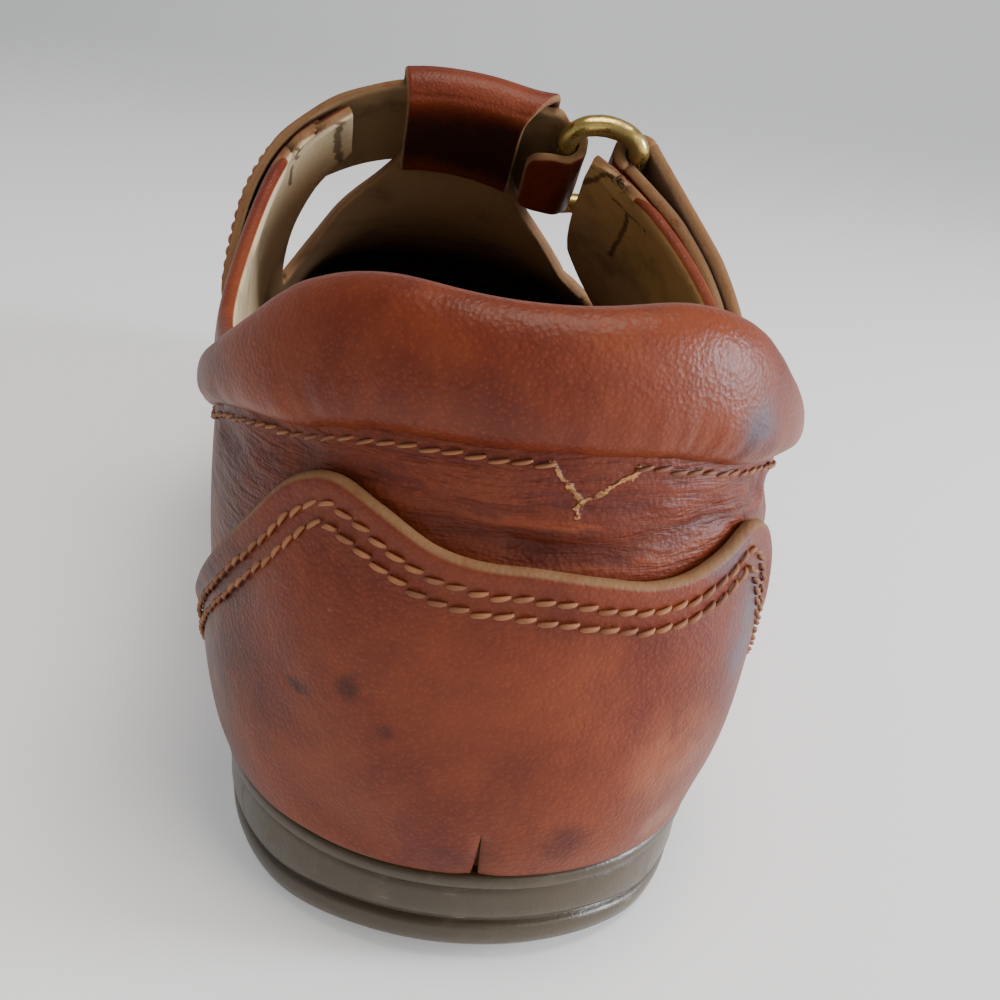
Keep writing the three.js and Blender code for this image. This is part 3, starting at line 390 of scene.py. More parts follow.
class Shade:
    """A socket of a material's nodes, on which sums can be written."""

    def __init__(self, tree, socket=None):
        self.tree = tree
        self.socket = socket

    def node(self, kind, settings=None, sockets=None, out=0):
        made = self.tree.nodes.new(kind)
        for name, value in (settings or {}).items():
            setattr(made, name, value)
        for name, value in (sockets or {}).items():
            if isinstance(value, Shade):
                self.tree.links.new(value.socket, made.inputs[name])
            else:
                made.inputs[name].default_value = value
        return Shade(self.tree, made.outputs[out])

    def sum(self, operation, *values):
        return self.node("ShaderNodeMath", {"operation": operation}, dict(enumerate(values)))

    def __add__(self, other):
        return self.sum("ADD", self, other)

    def __sub__(self, other):
        return self.sum("SUBTRACT", self, other)

    def __rsub__(self, other):
        return self.sum("SUBTRACT", other, self)

    def __mul__(self, other):
        return self.sum("MULTIPLY", self, other)

    __radd__ = __add__
    __rmul__ = __mul__

    def rise(self, low, high):
        """0 below low, 1 above high and smooth between; falls where low is the larger."""
        settings = {"interpolation_type": "SMOOTHSTEP", "clamp": True}
        if low < high:
            return self.node("ShaderNodeMapRange", settings, {0: self, 1: low, 2: high, 3: 0.0, 4: 1.0})
        return self.node("ShaderNodeMapRange", settings, {0: self, 1: high, 2: low, 3: 1.0, 4: 0.0})

    def colour(self, below, above):
        """A colour from below at 0 to above at 1."""
        below = below if isinstance(below, Shade) else (*below, 1)
        above = above if isinstance(above, Shade) else (*above, 1)
        return self.node("ShaderNodeMix", {"data_type": "RGBA"}, {0: self, 6: below, 7: above}, out=2)

    def noise(self, size, detail=3.0, roughness=0.55, stretch=(1, 1, 1), warp=0.0):
        """Noise whose marks have a size in millimetres, where this socket is a place in millimetres."""
        place = self.node("ShaderNodeVectorMath", {"operation": "MULTIPLY"},
                          {0: self, 1: tuple(s / size for s in stretch)})
        sockets = {"Vector": place, "Scale": 1.0, "Detail": detail, "Roughness": roughness,
                   "Distortion": warp}
        return self.node("ShaderNodeTexNoise", {}, sockets)

    def pebbles(self, size):
        """Rounded cells of a size in millimetres, 0 in the middle of each."""
        place = self.node("ShaderNodeVectorMath", {"operation": "SCALE"}, {0: self, 3: 1 / size})
        return self.node("ShaderNodeTexVoronoi", {"feature": "F1"}, {"Vector": place, "Scale": 1.0})

    def near(self, point, radii):
        """1 at a point of the shoe and 0 past its radii, all in millimetres."""
        away = self.node("ShaderNodeVectorMath", {"operation": "SUBTRACT"}, {0: self, 1: point})
        shares = self.node("ShaderNodeVectorMath", {"operation": "DIVIDE"}, {0: away, 1: radii})
        length = self.node("ShaderNodeVectorMath", {"operation": "LENGTH"}, {0: shares}, out=1)
        return length.rise(1.0, 0.25)

    def wavering(self, size, amount):
        """This place pushed about by up to half an amount, in waves of a size, in millimetres."""
        spot = self.node("ShaderNodeVectorMath", {"operation": "SCALE"}, {0: self, 3: 1 / size})
        wave = self.node("ShaderNodeTexNoise", {}, {"Vector": spot, "Scale": 1.0, "Detail": 3.0}, out=1)
        push = self.node("ShaderNodeVectorMath", {"operation": "MULTIPLY_ADD"},
                         {0: wave, 1: (amount,) * 3, 2: (-amount / 2,) * 3})
        return self.node("ShaderNodeVectorMath", {"operation": "ADD"}, {0: self, 1: push})

    def line(self, start, end, width, flat=(1, 0, 1)):
        """1 on a line seen along one axis and 0 past its half width, in millimetres."""
        start, end, flat = (np.array(value, float) for value in (start, end, flat))
        start, run = start * flat, (end - start) * flat
        seen = self.node("ShaderNodeVectorMath", {"operation": "MULTIPLY"}, {0: self, 1: tuple(flat)})
        away = self.node("ShaderNodeVectorMath", {"operation": "SUBTRACT"}, {0: seen, 1: tuple(start)})
        share = self.node("ShaderNodeVectorMath", {"operation": "DOT_PRODUCT"},
                          {0: away, 1: tuple(run / (run @ run))}, out=1)
        share = self.node("ShaderNodeClamp", {}, {0: share})
        there = self.node("ShaderNodeVectorMath", {"operation": "SCALE"}, {0: tuple(run), 3: share})
        gap = self.node("ShaderNodeVectorMath", {"operation": "DISTANCE"}, {0: away, 1: there}, out=1)
        return gap.rise(width, width * 0.3)


def new_material(name):
    """A material, its place in millimetres, a reader of the mesh's own values, and its shader."""
    material = bpy.data.materials.new(name)
    material.use_nodes = True
    tree = material.node_tree
    start = Shade(tree)
    spot = start.node("ShaderNodeTexCoord", out=3)
    place = spot.node("ShaderNodeVectorMath", {"operation": "SCALE"}, {0: spot, 3: 1 / MM})
    shader = tree.nodes["Principled BSDF"]

    def own(word):
        return start.node("ShaderNodeAttribute", {"attribute_name": word}, out=2)

    return material, place, own, shader


def feed(shader, **values):
    """Sets a shader's sockets, named with underscores for spaces, from colours, numbers or sums."""
    for word, value in values.items():
        socket = shader.inputs[word.replace("_", " ")]
        if isinstance(value, Shade):
            value.tree.links.new(value.socket, socket)
        else:
            socket.default_value = (*value, 1) if isinstance(value, tuple) else value


def bumped(height, reach, strength=1.0, under=None):
    """A surface pressed in and out by a height from 0 to 1 times reach in millimetres."""
    sockets = {"Strength": strength, "Distance": reach * MM, "Height": height}
    if under:
        sockets["Normal"] = under
    return height.node("ShaderNodeBump", {}, sockets)


def rubber():
    material, place, own, shader = new_material("moulded_rubber")
    cloud = place.noise(30, 4)
    dust = place.noise(5, 6, 0.65).rise(0.52, 0.72)
    height = place.node("ShaderNodeSeparateXYZ", {}, {0: place}, out=2)
    low = height.rise(5.2, 0.5)
    tint = cloud.rise(0.35, 0.65).colour((0.050, 0.034, 0.0165), (0.068, 0.048, 0.025))
    tint = (dust * 0.20 + low * 0.14).colour(tint, (0.20, 0.16, 0.115))
    scratches = place.noise(1.2, 3, stretch=(0.12, 0.12, 1.4)).rise(0.62, 0.70)
    tint = (scratches * dust * 0.5).colour(tint, (0.38, 0.33, 0.27))
    feed(shader, Base_Color=tint, Roughness=0.27 + dust * 0.22 + cloud * 0.12, Specular_IOR_Level=0.5,
         Normal=bumped(place.noise(0.5, 3) * 0.6 + place.noise(6, 2), 0.10))
    return material


rings, count = sole_points()
rings[:, :, 2] += channel_depth(rings) * (rings[:, :, 2] < tread_height(rings[..., 1]) + 0.3)
outsole = make_piece("rubber_outsole", rings.reshape(-1, 3), grid_quads(len(rings), count, True)[:, ::-1],
                     ["outsole"], "outsole")
outsole.data.materials.append(rubber())


# FOOTBED
# A shaped foam bed under smooth dark leather, pressed into the shoe over the lasted edge. It is dished by
# wear along its middle, and polished in patches.

FOOTBED_LIFT = 0.6
FOOTBED_THICKNESS = 4.2
FOOTBED_INSIDE = -3.7
FOOTBED_DISH = 1.4


def footbed_points():
    places = places_around(30, 70, 40)
    section = [(-1.6, 0.0), (-0.5, 0.35), (0.0, 1.3), (0.0, 3.4), (-0.5, 4.0), (-1.6, 4.2), (-4.0, 4.0)]
    rings = [hub_ring(places, lambda y: lip_height(y) + FOOTBED_LIFT)]
    for out, up in section:
        level = FOOTBED_LIFT + up
        rings.append(edge_ring(places, FOOTBED_INSIDE + out, lambda y, level=level: lip_height(y) + level))
    rim = rings[-1]
    hub = hub_ring(places, lambda y: lip_height(y) + FOOTBED_LIFT + FOOTBED_THICKNESS)
    for share in np.linspace(0, 1, 16)[1:]:
        ring = rim * (1 - share) + hub * share
        ring[:, 2] -= FOOTBED_DISH * ease(share) * (1 - share * 0.15)
        rings.append(ring)
    return np.stack(rings), len(places)


def lining_leather(name, light, dark, grime=0.4):
    """Worn lining leather: pale and napped where it is clean, dark and polished by the foot."""
    material, place, own, shader = new_material(name)
    darkening = place.noise(18, 5, 0.6).rise(0.5 - grime * 0.4, 0.85 - grime * 0.4)
    nap = place.noise(0.6, 4, 0.7)
    rubbed = place.noise(4, 4, 0.65).rise(0.45, 0.7)
    tint = nap.colour(tuple(c * 0.86 for c in light), light)
    tint = (darkening * 0.75 + rubbed * 0.18).colour(tint, dark)
    grain = place.pebbles(0.55)
    feed(shader, Base_Color=tint, Roughness=0.86 - darkening * 0.2, Specular_IOR_Level=0.28,
         Normal=bumped(nap * 0.6 + grain * 0.4 + place.noise(5, 2), 0.16))
    return material


rings, count = footbed_points()
footbed = make_piece("leather_footbed", rings.reshape(-1, 3), grid_quads(len(rings), count, True)[:, ::-1],
                     ["footbed"], "footbed")
footbed.data.materials.append(
    lining_leather("footbed_leather", (0.050, 0.030, 0.019), (0.012, 0.008, 0.006), 0.5))


# UPPER
# Soft pebbled cowhide, lasted and cemented to the sole: quarters, vamp and T-bar with their cut
# openings. The leather has lined up in fine folds above the counter, and creases across the ball.

UPPER_WALL = 2.4
STRAP_FORWARD = station(0.5204)
STRAP_WIDTH = 23.0
STRAP_REAR = STRAP_FORWARD - STRAP_WIDTH / 2
BAR = {"medial": -14.5, "lateral": 8.0, "setback": 3.2}
FRONTS = {"medial": -25.0, "lateral": 22.0}
GIRTH_MM = 88.0
# The shell ends below the topline, inside the collar; the openings run on past the strap's rear
TOPLINE_DEEP = 3.0
BAR_MARGIN = 4.4
BAR_FROM = 85.0
EDGE_ROUND = 0.6
OPENINGS = {
    "medial": {
        "girth": [-0.085, -0.140, -0.250, -0.360, -0.470, -0.560, -0.540, -0.420, -0.300],
        "along": [0.555, 0.576, 0.602, 0.631, 0.645, 0.634, 0.610, 0.574, 0.548],
    },
    "lateral": {
        "girth": [0.240, 0.340, 0.420, 0.500, 0.585, 0.560, 0.450, 0.375],
        "along": [0.576, 0.611, 0.652, 0.671, 0.660, 0.636, 0.604, 0.577],
    },
}


def curve_through(points, steps):
    """Points on a smooth curve through the given ones."""
    points = np.asarray(points, float)
    padded = np.concatenate([points[:1], points, points[-1:]])
    found = []
    for k in range(len(points) - 1):
        a, b, c, d = padded[k:k + 4]
        for step in range(steps):
            t = step / steps
            found.append(0.5 * (2 * b + (c - a) * t + (2 * a - 5 * b + 4 * c - d) * t * t
                                + (3 * b - a - 3 * c + d) * t ** 3))
    return np.array(found + [points[-1]])


def opening_outline(word):
    table = OPENINGS[word]
    curve = curve_through(np.stack([table["girth"], station(np.array(table["along"]))], -1), 5)
    rear = STRAP_REAR - BAR_MARGIN
    bar_y = np.array([rear, *(STRAP_FORWARD + STRAP_WIDTH * np.array([-0.25, 0, 0.25]))])
    front_y = np.array([STRAP_FORWARD + STRAP_WIDTH / 8, STRAP_FORWARD - STRAP_WIDTH / 4, rear])
    bar = np.stack([girth_at(BAR[word], bar_y), bar_y], -1)
    front = np.stack([girth_at(FRONTS[word], front_y), front_y], -1)
    outline = np.concatenate([bar, curve, front])
    return outline * [GIRTH_MM, 1]


def away_from_outline(points, outline):
    """Distance of flat points from a closed outline, below 0 inside it."""
    ends = np.roll(outline, -1, 0)
    nearest = np.full(len(points), 1e9)
    inside = np.zeros(len(points), bool)
    for a, b in zip(outline, ends):
        t = np.clip(((points - a) @ (b - a)) / ((b - a) @ (b - a)), 0, 1)
        nearest = np.minimum(nearest, np.linalg.norm(points - a - t[:, None] * (b - a), axis=1))
        crosses = (a[1] > points[:, 1]) != (b[1] > points[:, 1])
        rise = b[1] - a[1] if b[1] != a[1] else 1e-9
        inside ^= crosses & (points[:, 0] < (b[0] - a[0]) * (points[:, 1] - a[1]) / rise + a[0])
    return np.where(inside, -nearest, nearest)


OUTLINES = {word: opening_outline(word) for word in OPENINGS}


def leather_left(around, rise):
    """How far each point lies inside the leather from its nearest cut edge; below 0 it is cut away."""
    point = face(around, rise)
    x, y, z = point.T
    throat = np.where(y < STRAP_REAR, topline_height(y) - TOPLINE_DEEP - z, 60)
    end = STRAP_REAR + BAR["setback"]
    across = np.maximum(BAR["medial"] - BAR_MARGIN - x, x - BAR["lateral"] - BAR_MARGIN)
    left = np.minimum(throat, np.maximum(across, np.maximum(y - end, BAR_FROM - y)))
    flat = np.stack([np.sign(around) * (1 - rise) * GIRTH_MM, y], -1)
    near = np.flatnonzero((y > 80) & (y < TOE_FAN - 1))
    for outline in OUTLINES.values():
        left[near] = np.minimum(left[near], away_from_outline(flat[near], outline))
    return left - EDGE_ROUND


def slide(around, rise, amount, along_rows, along_columns):
    """Moves places of the form until amount() is 0 there, along its steepest way."""
    step = 0.0015
    around_weight, rise_weight, least = 3e-4, 1.2e-4, 1e-6
    for _ in range(4):
        here = amount(around, rise)
        by_around = (amount(around + step, rise) - here) / step * along_rows
        by_rise = (amount(around, np.minimum(rise + step, 1)) - here) / step * along_columns
        steep = by_around ** 2 * around_weight + by_rise ** 2 * rise_weight + least
        around = around - np.clip(here * by_around * around_weight / steep, -0.02, 0.02)
        rise = np.clip(rise - np.clip(here * by_rise * rise_weight / steep, -0.03, 0.03), 0, 1)
    return around, rise


def cut_form(row_places, columns, top_at, amount, cell):
    """A sheet of quads over the form, trimmed so that its borders follow the cut edges."""
    rows = len(row_places)
    half = [row_places, -row_places]
    around = np.concatenate([np.repeat(h, columns) for h in half])
    rise = np.concatenate([(top_at(h)[:, None] * np.linspace(0, 1, columns)).ravel() for h in half])
    around[rows * columns:] -= 1e-9
    keys = np.round(face(around, rise) * 200).astype(np.int64)
    _, first, same = np.unique(keys, axis=0, return_index=True, return_inverse=True)
    same = same.ravel()
    quads = grid_quads(rows, columns)
    quads = np.concatenate([quads[:, ::-1], quads + rows * columns])
    quads = same[quads]
    around, rise = around[first], rise[first]
    left = amount(around, rise)
    quads = quads[(left[quads] > -0.45 * cell).all(1) & (left[quads] > 0).any(1)]
    for _ in range(3):
        border = border_edges(quads, len(around))
        corner_counts = np.bincount(border.ravel(), minlength=len(around))
        pinched = np.flatnonzero(corner_counts > 2)
        by_quad = np.isin(quads, border[:, 0]).sum(1)
        bad = np.isin(quads, pinched).any(1) | (by_quad == 4) & (corner_counts[quads] == 2).all(1)
        quads = quads[~bad]
    border = np.unique(border_edges(quads, len(around)))
    border = border[rise[border] > 1e-6]
    fixed_row = (np.abs(around[border]) > 1e-6) & (np.abs(around[border]) < 3 - 1e-6)
    moved = slide(around[border], rise[border], amount, fixed_row * 1.0, (rise[border] < 1 - 1e-6) * 1.0)
    around[border], rise[border] = moved
    used, quads = np.unique(quads, return_inverse=True)
    return around[used], rise[used], quads.reshape(-1, 4)


def border_edges(quads, count):
    """The directed edges that have a face on one side only."""
    edges = np.concatenate([quads[:, [k, (k + 1) % 4]] for k in range(4)])
    edges = edges[edges[:, 0] != edges[:, 1]]
    ways = edges[:, 0] * count + edges[:, 1]
    back = edges[:, 1] * count + edges[:, 0]
    return edges[~np.isin(back, ways)]


def rounded_piece(name, outer, inner, quads, nodes, slot, steps=3, bulge=0.5, **values):
    """A closed piece of leather between two faces, its cut edges rounded. Its mesh knows at each point
    how far it has turned to the inside, and how far it is round a cut edge."""
    count = len(outer)
    border = border_edges(quads, count)
    through = outer - inner
    edge_way = np.cross(outer[border[:, 1]] - outer[border[:, 0]], unit(through[border[:, 0]]))
    away = np.zeros_like(outer)
    np.add.at(away, border[:, 0], unit(edge_way))
    np.add.at(away, border[:, 1], unit(edge_way))
    rim = np.unique(border)
    slot_of = np.full(count, -1)
    slot_of[rim] = np.arange(len(rim))
    half = np.linalg.norm(through[rim], axis=1, keepdims=True) / 2
    middle = (outer[rim] + inner[rim]) / 2
    share = np.broadcast_to(np.asarray(bulge, float), count)[rim][:, None]
    rings = []
    for step in range(1, steps + 1):
        angle = math.pi * step / (steps + 1)
        turned = math.cos(angle) * unit(through[rim]) + math.sin(angle) * share * unit(away[rim])
        rings.append(middle + half * turned)
    points = np.concatenate([outer, inner, *rings])
    faces = [quads, quads[:, ::-1] + count]
    a, b = slot_of[border[:, 0]], slot_of[border[:, 1]]
    lines = [(border[:, 0], border[:, 1])]
    lines += [(2 * count + k * len(rim) + a, 2 * count + k * len(rim) + b) for k in range(steps)]
    lines.append((border[:, 0] + count, border[:, 1] + count))
    for (a0, b0), (a1, b1) in zip(lines, lines[1:]):
        faces.append(np.stack([b0, a0, a1, b1], -1))
    inside = [np.zeros(count), np.ones(count)]
    round_edge = [np.zeros(count), np.zeros(count)]
    for step in range(1, steps + 1):
        inside.append(np.full(len(rim), step / (steps + 1)))
        round_edge.append(np.full(len(rim), math.sin(math.pi * step / (steps + 1))))
    own = {"inside": np.concatenate(inside), "cut": np.concatenate(round_edge)}
    for word, value in values.items():
        own[word] = np.concatenate([value, value] + [value[rim]] * steps)
    return make_piece(name, points, np.concatenate(faces), nodes, slot, **own)


# The length of the heel's edge from the middle of the back to the side, a turn of 1
HEEL_ARC = 52.0
# Folds of the soft leather above the counter, each from one turn and height to another
HEEL_FOLDS = [
    (-0.62, 62.5, 0.10, 59.0, -1.6, -0.55, 1.0), (-0.50, 60.6, 0.30, 56.8, -1.4, -0.60, 1.1),
    (-0.40, 64.6, 0.34, 62.2, -1.0, -0.40, 0.9), (-0.25, 61.2, 0.58, 61.0, -2.6, -0.65, 1.2),
    (-0.10, 58.6, 0.46, 58.9, -1.6, -0.55, 1.0), (0.02, 63.8, 0.62, 63.0, -1.8, -0.42, 0.9),
    (-0.66, 64.8, -0.10, 62.4, -0.8, -0.45, 0.9), (0.20, 60.3, 0.72, 62.0, -1.9, -0.50, 1.1),
    (-0.84, 57.0, -0.56, 62.6, -0.4, -0.40, 1.2), (0.60, 61.5, 0.92, 56.0, 0.6, -0.50, 1.3),
    (-0.35, 59.4, 0.16, 56.6, -0.9, -0.45, 0.9), (-0.58, 61.4, 0.02, 57.6, -1.3, 0.40, 0.9),
    (0.00, 61.0, 0.60, 60.0, -2.2, 0.42, 1.0), (-0.30, 63.2, 0.40, 60.6, -1.5, 0.40, 1.0),
    (-0.92, 60.0, -0.66, 58.0, 0.2, -0.40, 1.4), (0.66, 58.6, 1.02, 52.0, 0.4, -0.45, 1.5),
]
# Creases across the vamp where the toes bend: along, from and to by x, depth and width
VAMP_CREASES = [(0.690, -34, 30, -0.55, 2.2), (0.735, -38, -8, -0.45, 1.8), (0.742, 2, 40, -0.50, 2.0),
                (0.665, -36, -12, -0.40, 1.8), (0.650, 14, 42, -0.45, 2.0), (0.715, -30, 34, 0.40, 2.6)]


def fold_relief(around, point):
    """Depth of the listed folds and creases at points of the face, in millimetres."""
    deep = np.zeros(len(around))
    for start, start_z, end, end_z, sag, depth, width in HEEL_FOLDS:
        run = (around - start) / (end - start)
        line = start_z + (end_z - start_z) * run + sag * 4 * run * (1 - run)
        line += 0.35 * np.sin(around * 23 + start_z)
        lean = (end_z - start_z) / ((end - start) * HEEL_ARC)
        gap = (point[:, 2] - line) / math.sqrt(1 + lean * lean)
        deep += 1.25 * depth * np.exp(-(gap / width) ** 2) * fade(run, -0.02, 0.16) * fade(run, 1.02, 0.84)
    for share, start, end, depth, width in VAMP_CREASES:
        middle = station(share) + 2.2 * np.sin(point[:, 0] / 9 + share * 40)
        ends = fade(point[:, 0], start, start + 9) * fade(point[:, 0], end, end - 9)
        deep += depth * np.exp(-((point[:, 1] - middle) / width) ** 2) * ends * (point[:, 2] > 30)
    return deep


SCALLOP = {
    "turn": [0.00, 0.16, 0.28, 0.37, 0.46, 0.56, 0.66, 0.76, 0.88, 1.00, 1.18],
    "medial": [0.895, 0.915, 0.970, 1.000, 0.965, 0.860, 0.760, 0.665, 0.560, 0.455, 0.290],
    "lateral": [0.895, 0.880, 0.865, 0.870, 0.895, 0.930, 0.865, 0.710, 0.580, 0.470, 0.290],
}
COUNTER_HEIGHT = 62.0


def counter_top(around):
    """Height of the heel counter's scalloped edge."""
    medial = read(SCALLOP, "medial", np.abs(around), "turn")
    lateral = read(SCALLOP, "lateral", np.abs(around), "turn")
    return COUNTER_HEIGHT * np.where(np.asarray(around) < 0, medial, lateral)


# The leather's colours, from the deepest to the most worn, and a blue grey painted where the window's
# reflection falls
BURGUNDY = (0.058, 0.0080, 0.0050)
RED_BROWN = (0.104, 0.0128, 0.0062)
TAN = (0.195, 0.0390, 0.0110)
RAW_EDGE = (0.210, 0.112, 0.048)
THREAD = (0.350, 0.135, 0.048)
PAINTED_WINDOW_BLUE_GREY = (0.085, 0.060, 0.075)
FROM_BEHIND, FROM_THE_SIDE = (1, 0, 1), (0, 1, 1)
LININGS = {"medial": (0.60, 0.46, 0.27), "lateral": (0.46, 0.26, 0.095), "vamp": (0.32, 0.175, 0.085)}
# How far the lining goes to its dark colour, for its dirt and for painted shade
LINING_SOIL_AND_SHADE = 0.72


def soiled_and_shaded(colour):
    """The dark colour of a lining whose colour is a socket, for its dirt and for painted shade deep in the
    shoe.
    """
    return colour.node("ShaderNodeMix", {"data_type": "RGBA"},
                       {0: LINING_SOIL_AND_SHADE, 6: colour, 7: (0.012, 0.007, 0.004, 1)}, out=2)


def cowhide(name, lining, stains_and_painted_light=(), tears=(), marks=(),
            warm=0.5, fine_folds=0.0, gloss=0.40, scuffs=0.3):
    """Red-brown pebbled leather, waxed and worn: lighter where it is rubbed, pale at its cut edges, with its
    lining on the inside. Painted shade darkens the troughs of its folds and painted highlight lightens their
    ridges, and painted shade darkens its lining low in the shoe. Each entry of stains and painted light is a
    point, its radii, how strong it is and its colour: real stains, and patches of painted shade and of
    painted window reflection; each tear a line with its half width and the plane it is seen in; each mark a
    dark line of painted crease shade on the lining, with the side of the shoe, 1 outer or -1 inner, that it
    is on."""
    material, place, own, shader = new_material(name)
    cloud = place.noise(26, 5, 0.6, warp=0.4)
    mottle = place.noise(5, 5, 0.65)
    tint = (cloud * 0.85 + mottle * 0.25).rise(0.36 - warm * 0.10, 0.80 - warm * 0.10).colour(RED_BROWN, TAN)
    deep = place.noise(15, 4, 0.6, stretch=(1.2, 1.0, 0.8)).rise(0.50, 0.68)
    tint = (deep * 0.22).colour(tint, BURGUNDY)
    pores = place.pebbles(0.62)
    tint = (pores.rise(0.45, 0.12) * 0.22).colour(tint, tuple(c * 1.6 for c in TAN))
    specks = place.noise(1.7, 2).rise(0.70, 0.76)
    tint = (specks * 0.35).colour(tint, BURGUNDY)
    # Painted shade darkens the troughs of folds, creases and dents, and painted highlight lightens ridges and
    # swellings
    tint = (own("fold").rise(-0.15, -0.80) * 0.40).colour(tint, BURGUNDY)
    tint = (own("fold").rise(0.12, 0.50) * 0.55).colour(tint, tuple(c * 1.25 for c in TAN))
    rubbed = place.noise(2.6, 5, 0.7, stretch=(0.35, 0.35, 1.6), warp=0.6).rise(0.66, 0.74)
    tint = (rubbed * scuffs).colour(tint, (0.30, 0.14, 0.060))
    # Real stains, and patches of painted shade and painted window reflection, each mixed into the colour
    for point, radii, strength, colour in stains_and_painted_light:
        spot = place.near(point, radii)
        patchy = place.noise(4, 4, 0.6).rise(0.25, 0.6) + max(strength - 1, 0)
        tint = (spot * patchy * strength).colour(tint, colour)
    torn = 0.0
    for start, end, width, flat in tears:
        torn = place.wavering(1.8, 2.2).line(start, end, width, flat) + torn
    if tears:
        torn = torn * place.node("ShaderNodeSeparateXYZ", {}, {0: place}, out=1).rise(0, -20)
        ragged = (torn * place.noise(0.9, 3).rise(0.25, 0.55)).rise(0.1, 0.8)
        tint = (ragged * 0.8).colour(tint, (0.50, 0.24, 0.080))
    worn = own("cut").rise(0.05, 0.50)
    tint = (worn * place.noise(3, 3).rise(0.1, 0.5) * 0.9).colour(tint, RAW_EDGE)
    nap = place.noise(0.7, 4, 0.7)
    height = place.node("ShaderNodeSeparateXYZ", {}, {0: place}, out=2)
    # Dirt in patches by noise, plus painted shade that darkens the lining below about 52 mm, deep inside the
    # shoe
    darkening = place.noise(14, 4, 0.6).rise(0.42, 0.70) * 0.5 + height.rise(52, 30) * 0.8
    if lining is LININGS:
        side = place.node("ShaderNodeSeparateXYZ", {}, {0: place}, out=0)
        ahead = place.node("ShaderNodeSeparateXYZ", {}, {0: place}, out=1)
        lining = side.rise(4, -16).colour(LININGS["lateral"], LININGS["medial"])
        lining = (ahead.rise(96, 112) * 0.9).colour(lining, LININGS["vamp"])
        darker = soiled_and_shaded(lining)
    else:
        darker = tuple(c * 0.30 for c in lining)
    cloth = (nap * 0.35 + darkening * 0.8).rise(0.15, 1.0).colour(lining, darker)
    # Each mark is painted shade of a crease in the lining, drawn dark with no relief
    for start, end, hand in marks:
        pressed = place.wavering(1.5, 0.9).line(start, end, 0.55, FROM_THE_SIDE) * (side * hand).rise(4, 12)
        cloth = (pressed * 0.75).colour(cloth, (0.045, 0.020, 0.010))
    turned = own("inside").rise(0.55, 0.80)
    grain = bumped(pores * 0.65 + place.noise(0.4, 2) * 0.35, 0.13, 0.75)
    under = bumped(place.noise(2.2, 4, 0.6), 0.16, 0.8, grain)
    if fine_folds:
        lines = place.noise(1.5, 3, 0.6, stretch=(0.16, 0.16, 1.0), warp=0.5)
        band = own("folded")
        under = bumped(lines * band, fine_folds, 1.0, under)
        # Painted shade in the troughs of the fine folds
        tint = (lines.rise(0.50, 0.40) * band * 0.45).colour(tint, BURGUNDY)
    if tears:
        under = bumped(torn, 0.22, 1.0, under)
    feed(shader, Base_Color=turned.colour(tint, cloth), Specular_IOR_Level=0.24,
         Roughness=gloss + mottle * 0.16 + worn * 0.25 + turned * 0.4, Normal=under)
    return material


# The height of the collar's foot, where it is stitched down, by turns round the heel
SEAM = {
    "turn": [0.00, 0.20, 0.40, 0.60, 0.80, 0.90, 1.00, 1.10, 1.20, 1.30, 1.50],
    "medial": [68.4, 68.4, 67.6, 66.0, 62.6, 60.2, 57.4, 54.4, 54.0, 57.4, 75.0],
    "lateral": [68.4, 68.2, 67.4, 66.0, 62.8, 60.4, 57.6, 54.8, 54.0, 57.4, 75.0],
}


def seam_height(around):
    medial, lateral = (read(SEAM, side, np.abs(around), "turn") for side in ("medial", "lateral"))
    return np.where(around < 0, medial, lateral)


def upper_rows():
    return np.concatenate([np.arange(42) / 42, 1 + np.arange(92) / 92, 2 + np.arange(61) / 60])


def upper_top(around):
    return rise_to(around, lambda y: np.where(y > STRAP_REAR, 400, topline_height(y) + 1))


around, rise, quads = cut_form(upper_rows(), 50, upper_top, leather_left, 1.6)
point = face(around, rise)
height = point[:, 2]
under_counter = fade(height, counter_top(around) + 1.5, counter_top(around) - 1.0) * (np.abs(around) < 1.2)
seam = seam_height(around)
folded = (1 - under_counter) * fade(point[:, 1], 30, 8) * fade(height, seam + 3, seam)
relief = fold_relief(around, point) * (1 - under_counter)
swell = 0.5 * np.sin(point[:, 0] / 9 + 1) * np.sin(point[:, 1] / 14) * (1 - under_counter) * (height > 25)
outer = skin(around, rise, relief + swell * 0.5)
outer[:, 2] += 0.3 * (rise < 1e-6)
inner = skin(around, rise, -UPPER_WALL + relief * 0.3)
shell = rounded_piece("leather_upper", outer, inner, quads, ["upper"], "upper", fold=relief, folded=folded)
shell.data.materials.append(cowhide(
    "upper_cowhide", LININGS, warm=0.45, fine_folds=0.60,
    # A dark patch of painted shade on the inner side of the heel, away from the window
    stains_and_painted_light=[((-36, -10, 56), (14, 22, 16), 0.9, BURGUNDY)],
    tears=[((2.2, 0, 67.2), (6.3, 0, 62.9), 0.60, FROM_BEHIND),
           ((6.3, 0, 62.9), (12.4, 0, 66.6), 0.45, FROM_BEHIND),
           ((6.3, 0, 62.9), (5.7, 0, 61.8), 0.5, FROM_BEHIND)],
    marks=[((0, 85.5, 85.2), (0, 94.5, 87.3), -1), ((0, 94.5, 87.3), (0, 112.0, 76.0), -1),
           ((0, 85.5, 85.2), (0, 103.0, 73.5), -1), ((0, 94.0, 76.5), (0, 108.0, 65.5), 1),
           ((0, 92.0, 74.8), (0, 96.0, 78.4), 1), ((0, 88.0, 84.5), (0, 100.0, 80.5), 1)]))


# PADDED COLLAR
# Foam in soft leather, turned over the topline and stitched down along its foot: fat at the heel,
# thinning along the sides to a rolled edge on the quarters' rising fronts.

EDGE_ROLL = 4.4
COLLAR_PUFF_OUT = 3.4
COLLAR_PUFF_IN = 4.0
EDGE_PUFF = 0.9
COLLAR_FRONT = 0.452


def collar_places(steps):
    front = abs(around_at(1, station(COLLAR_FRONT)))
    return np.linspace(-front, front, steps)


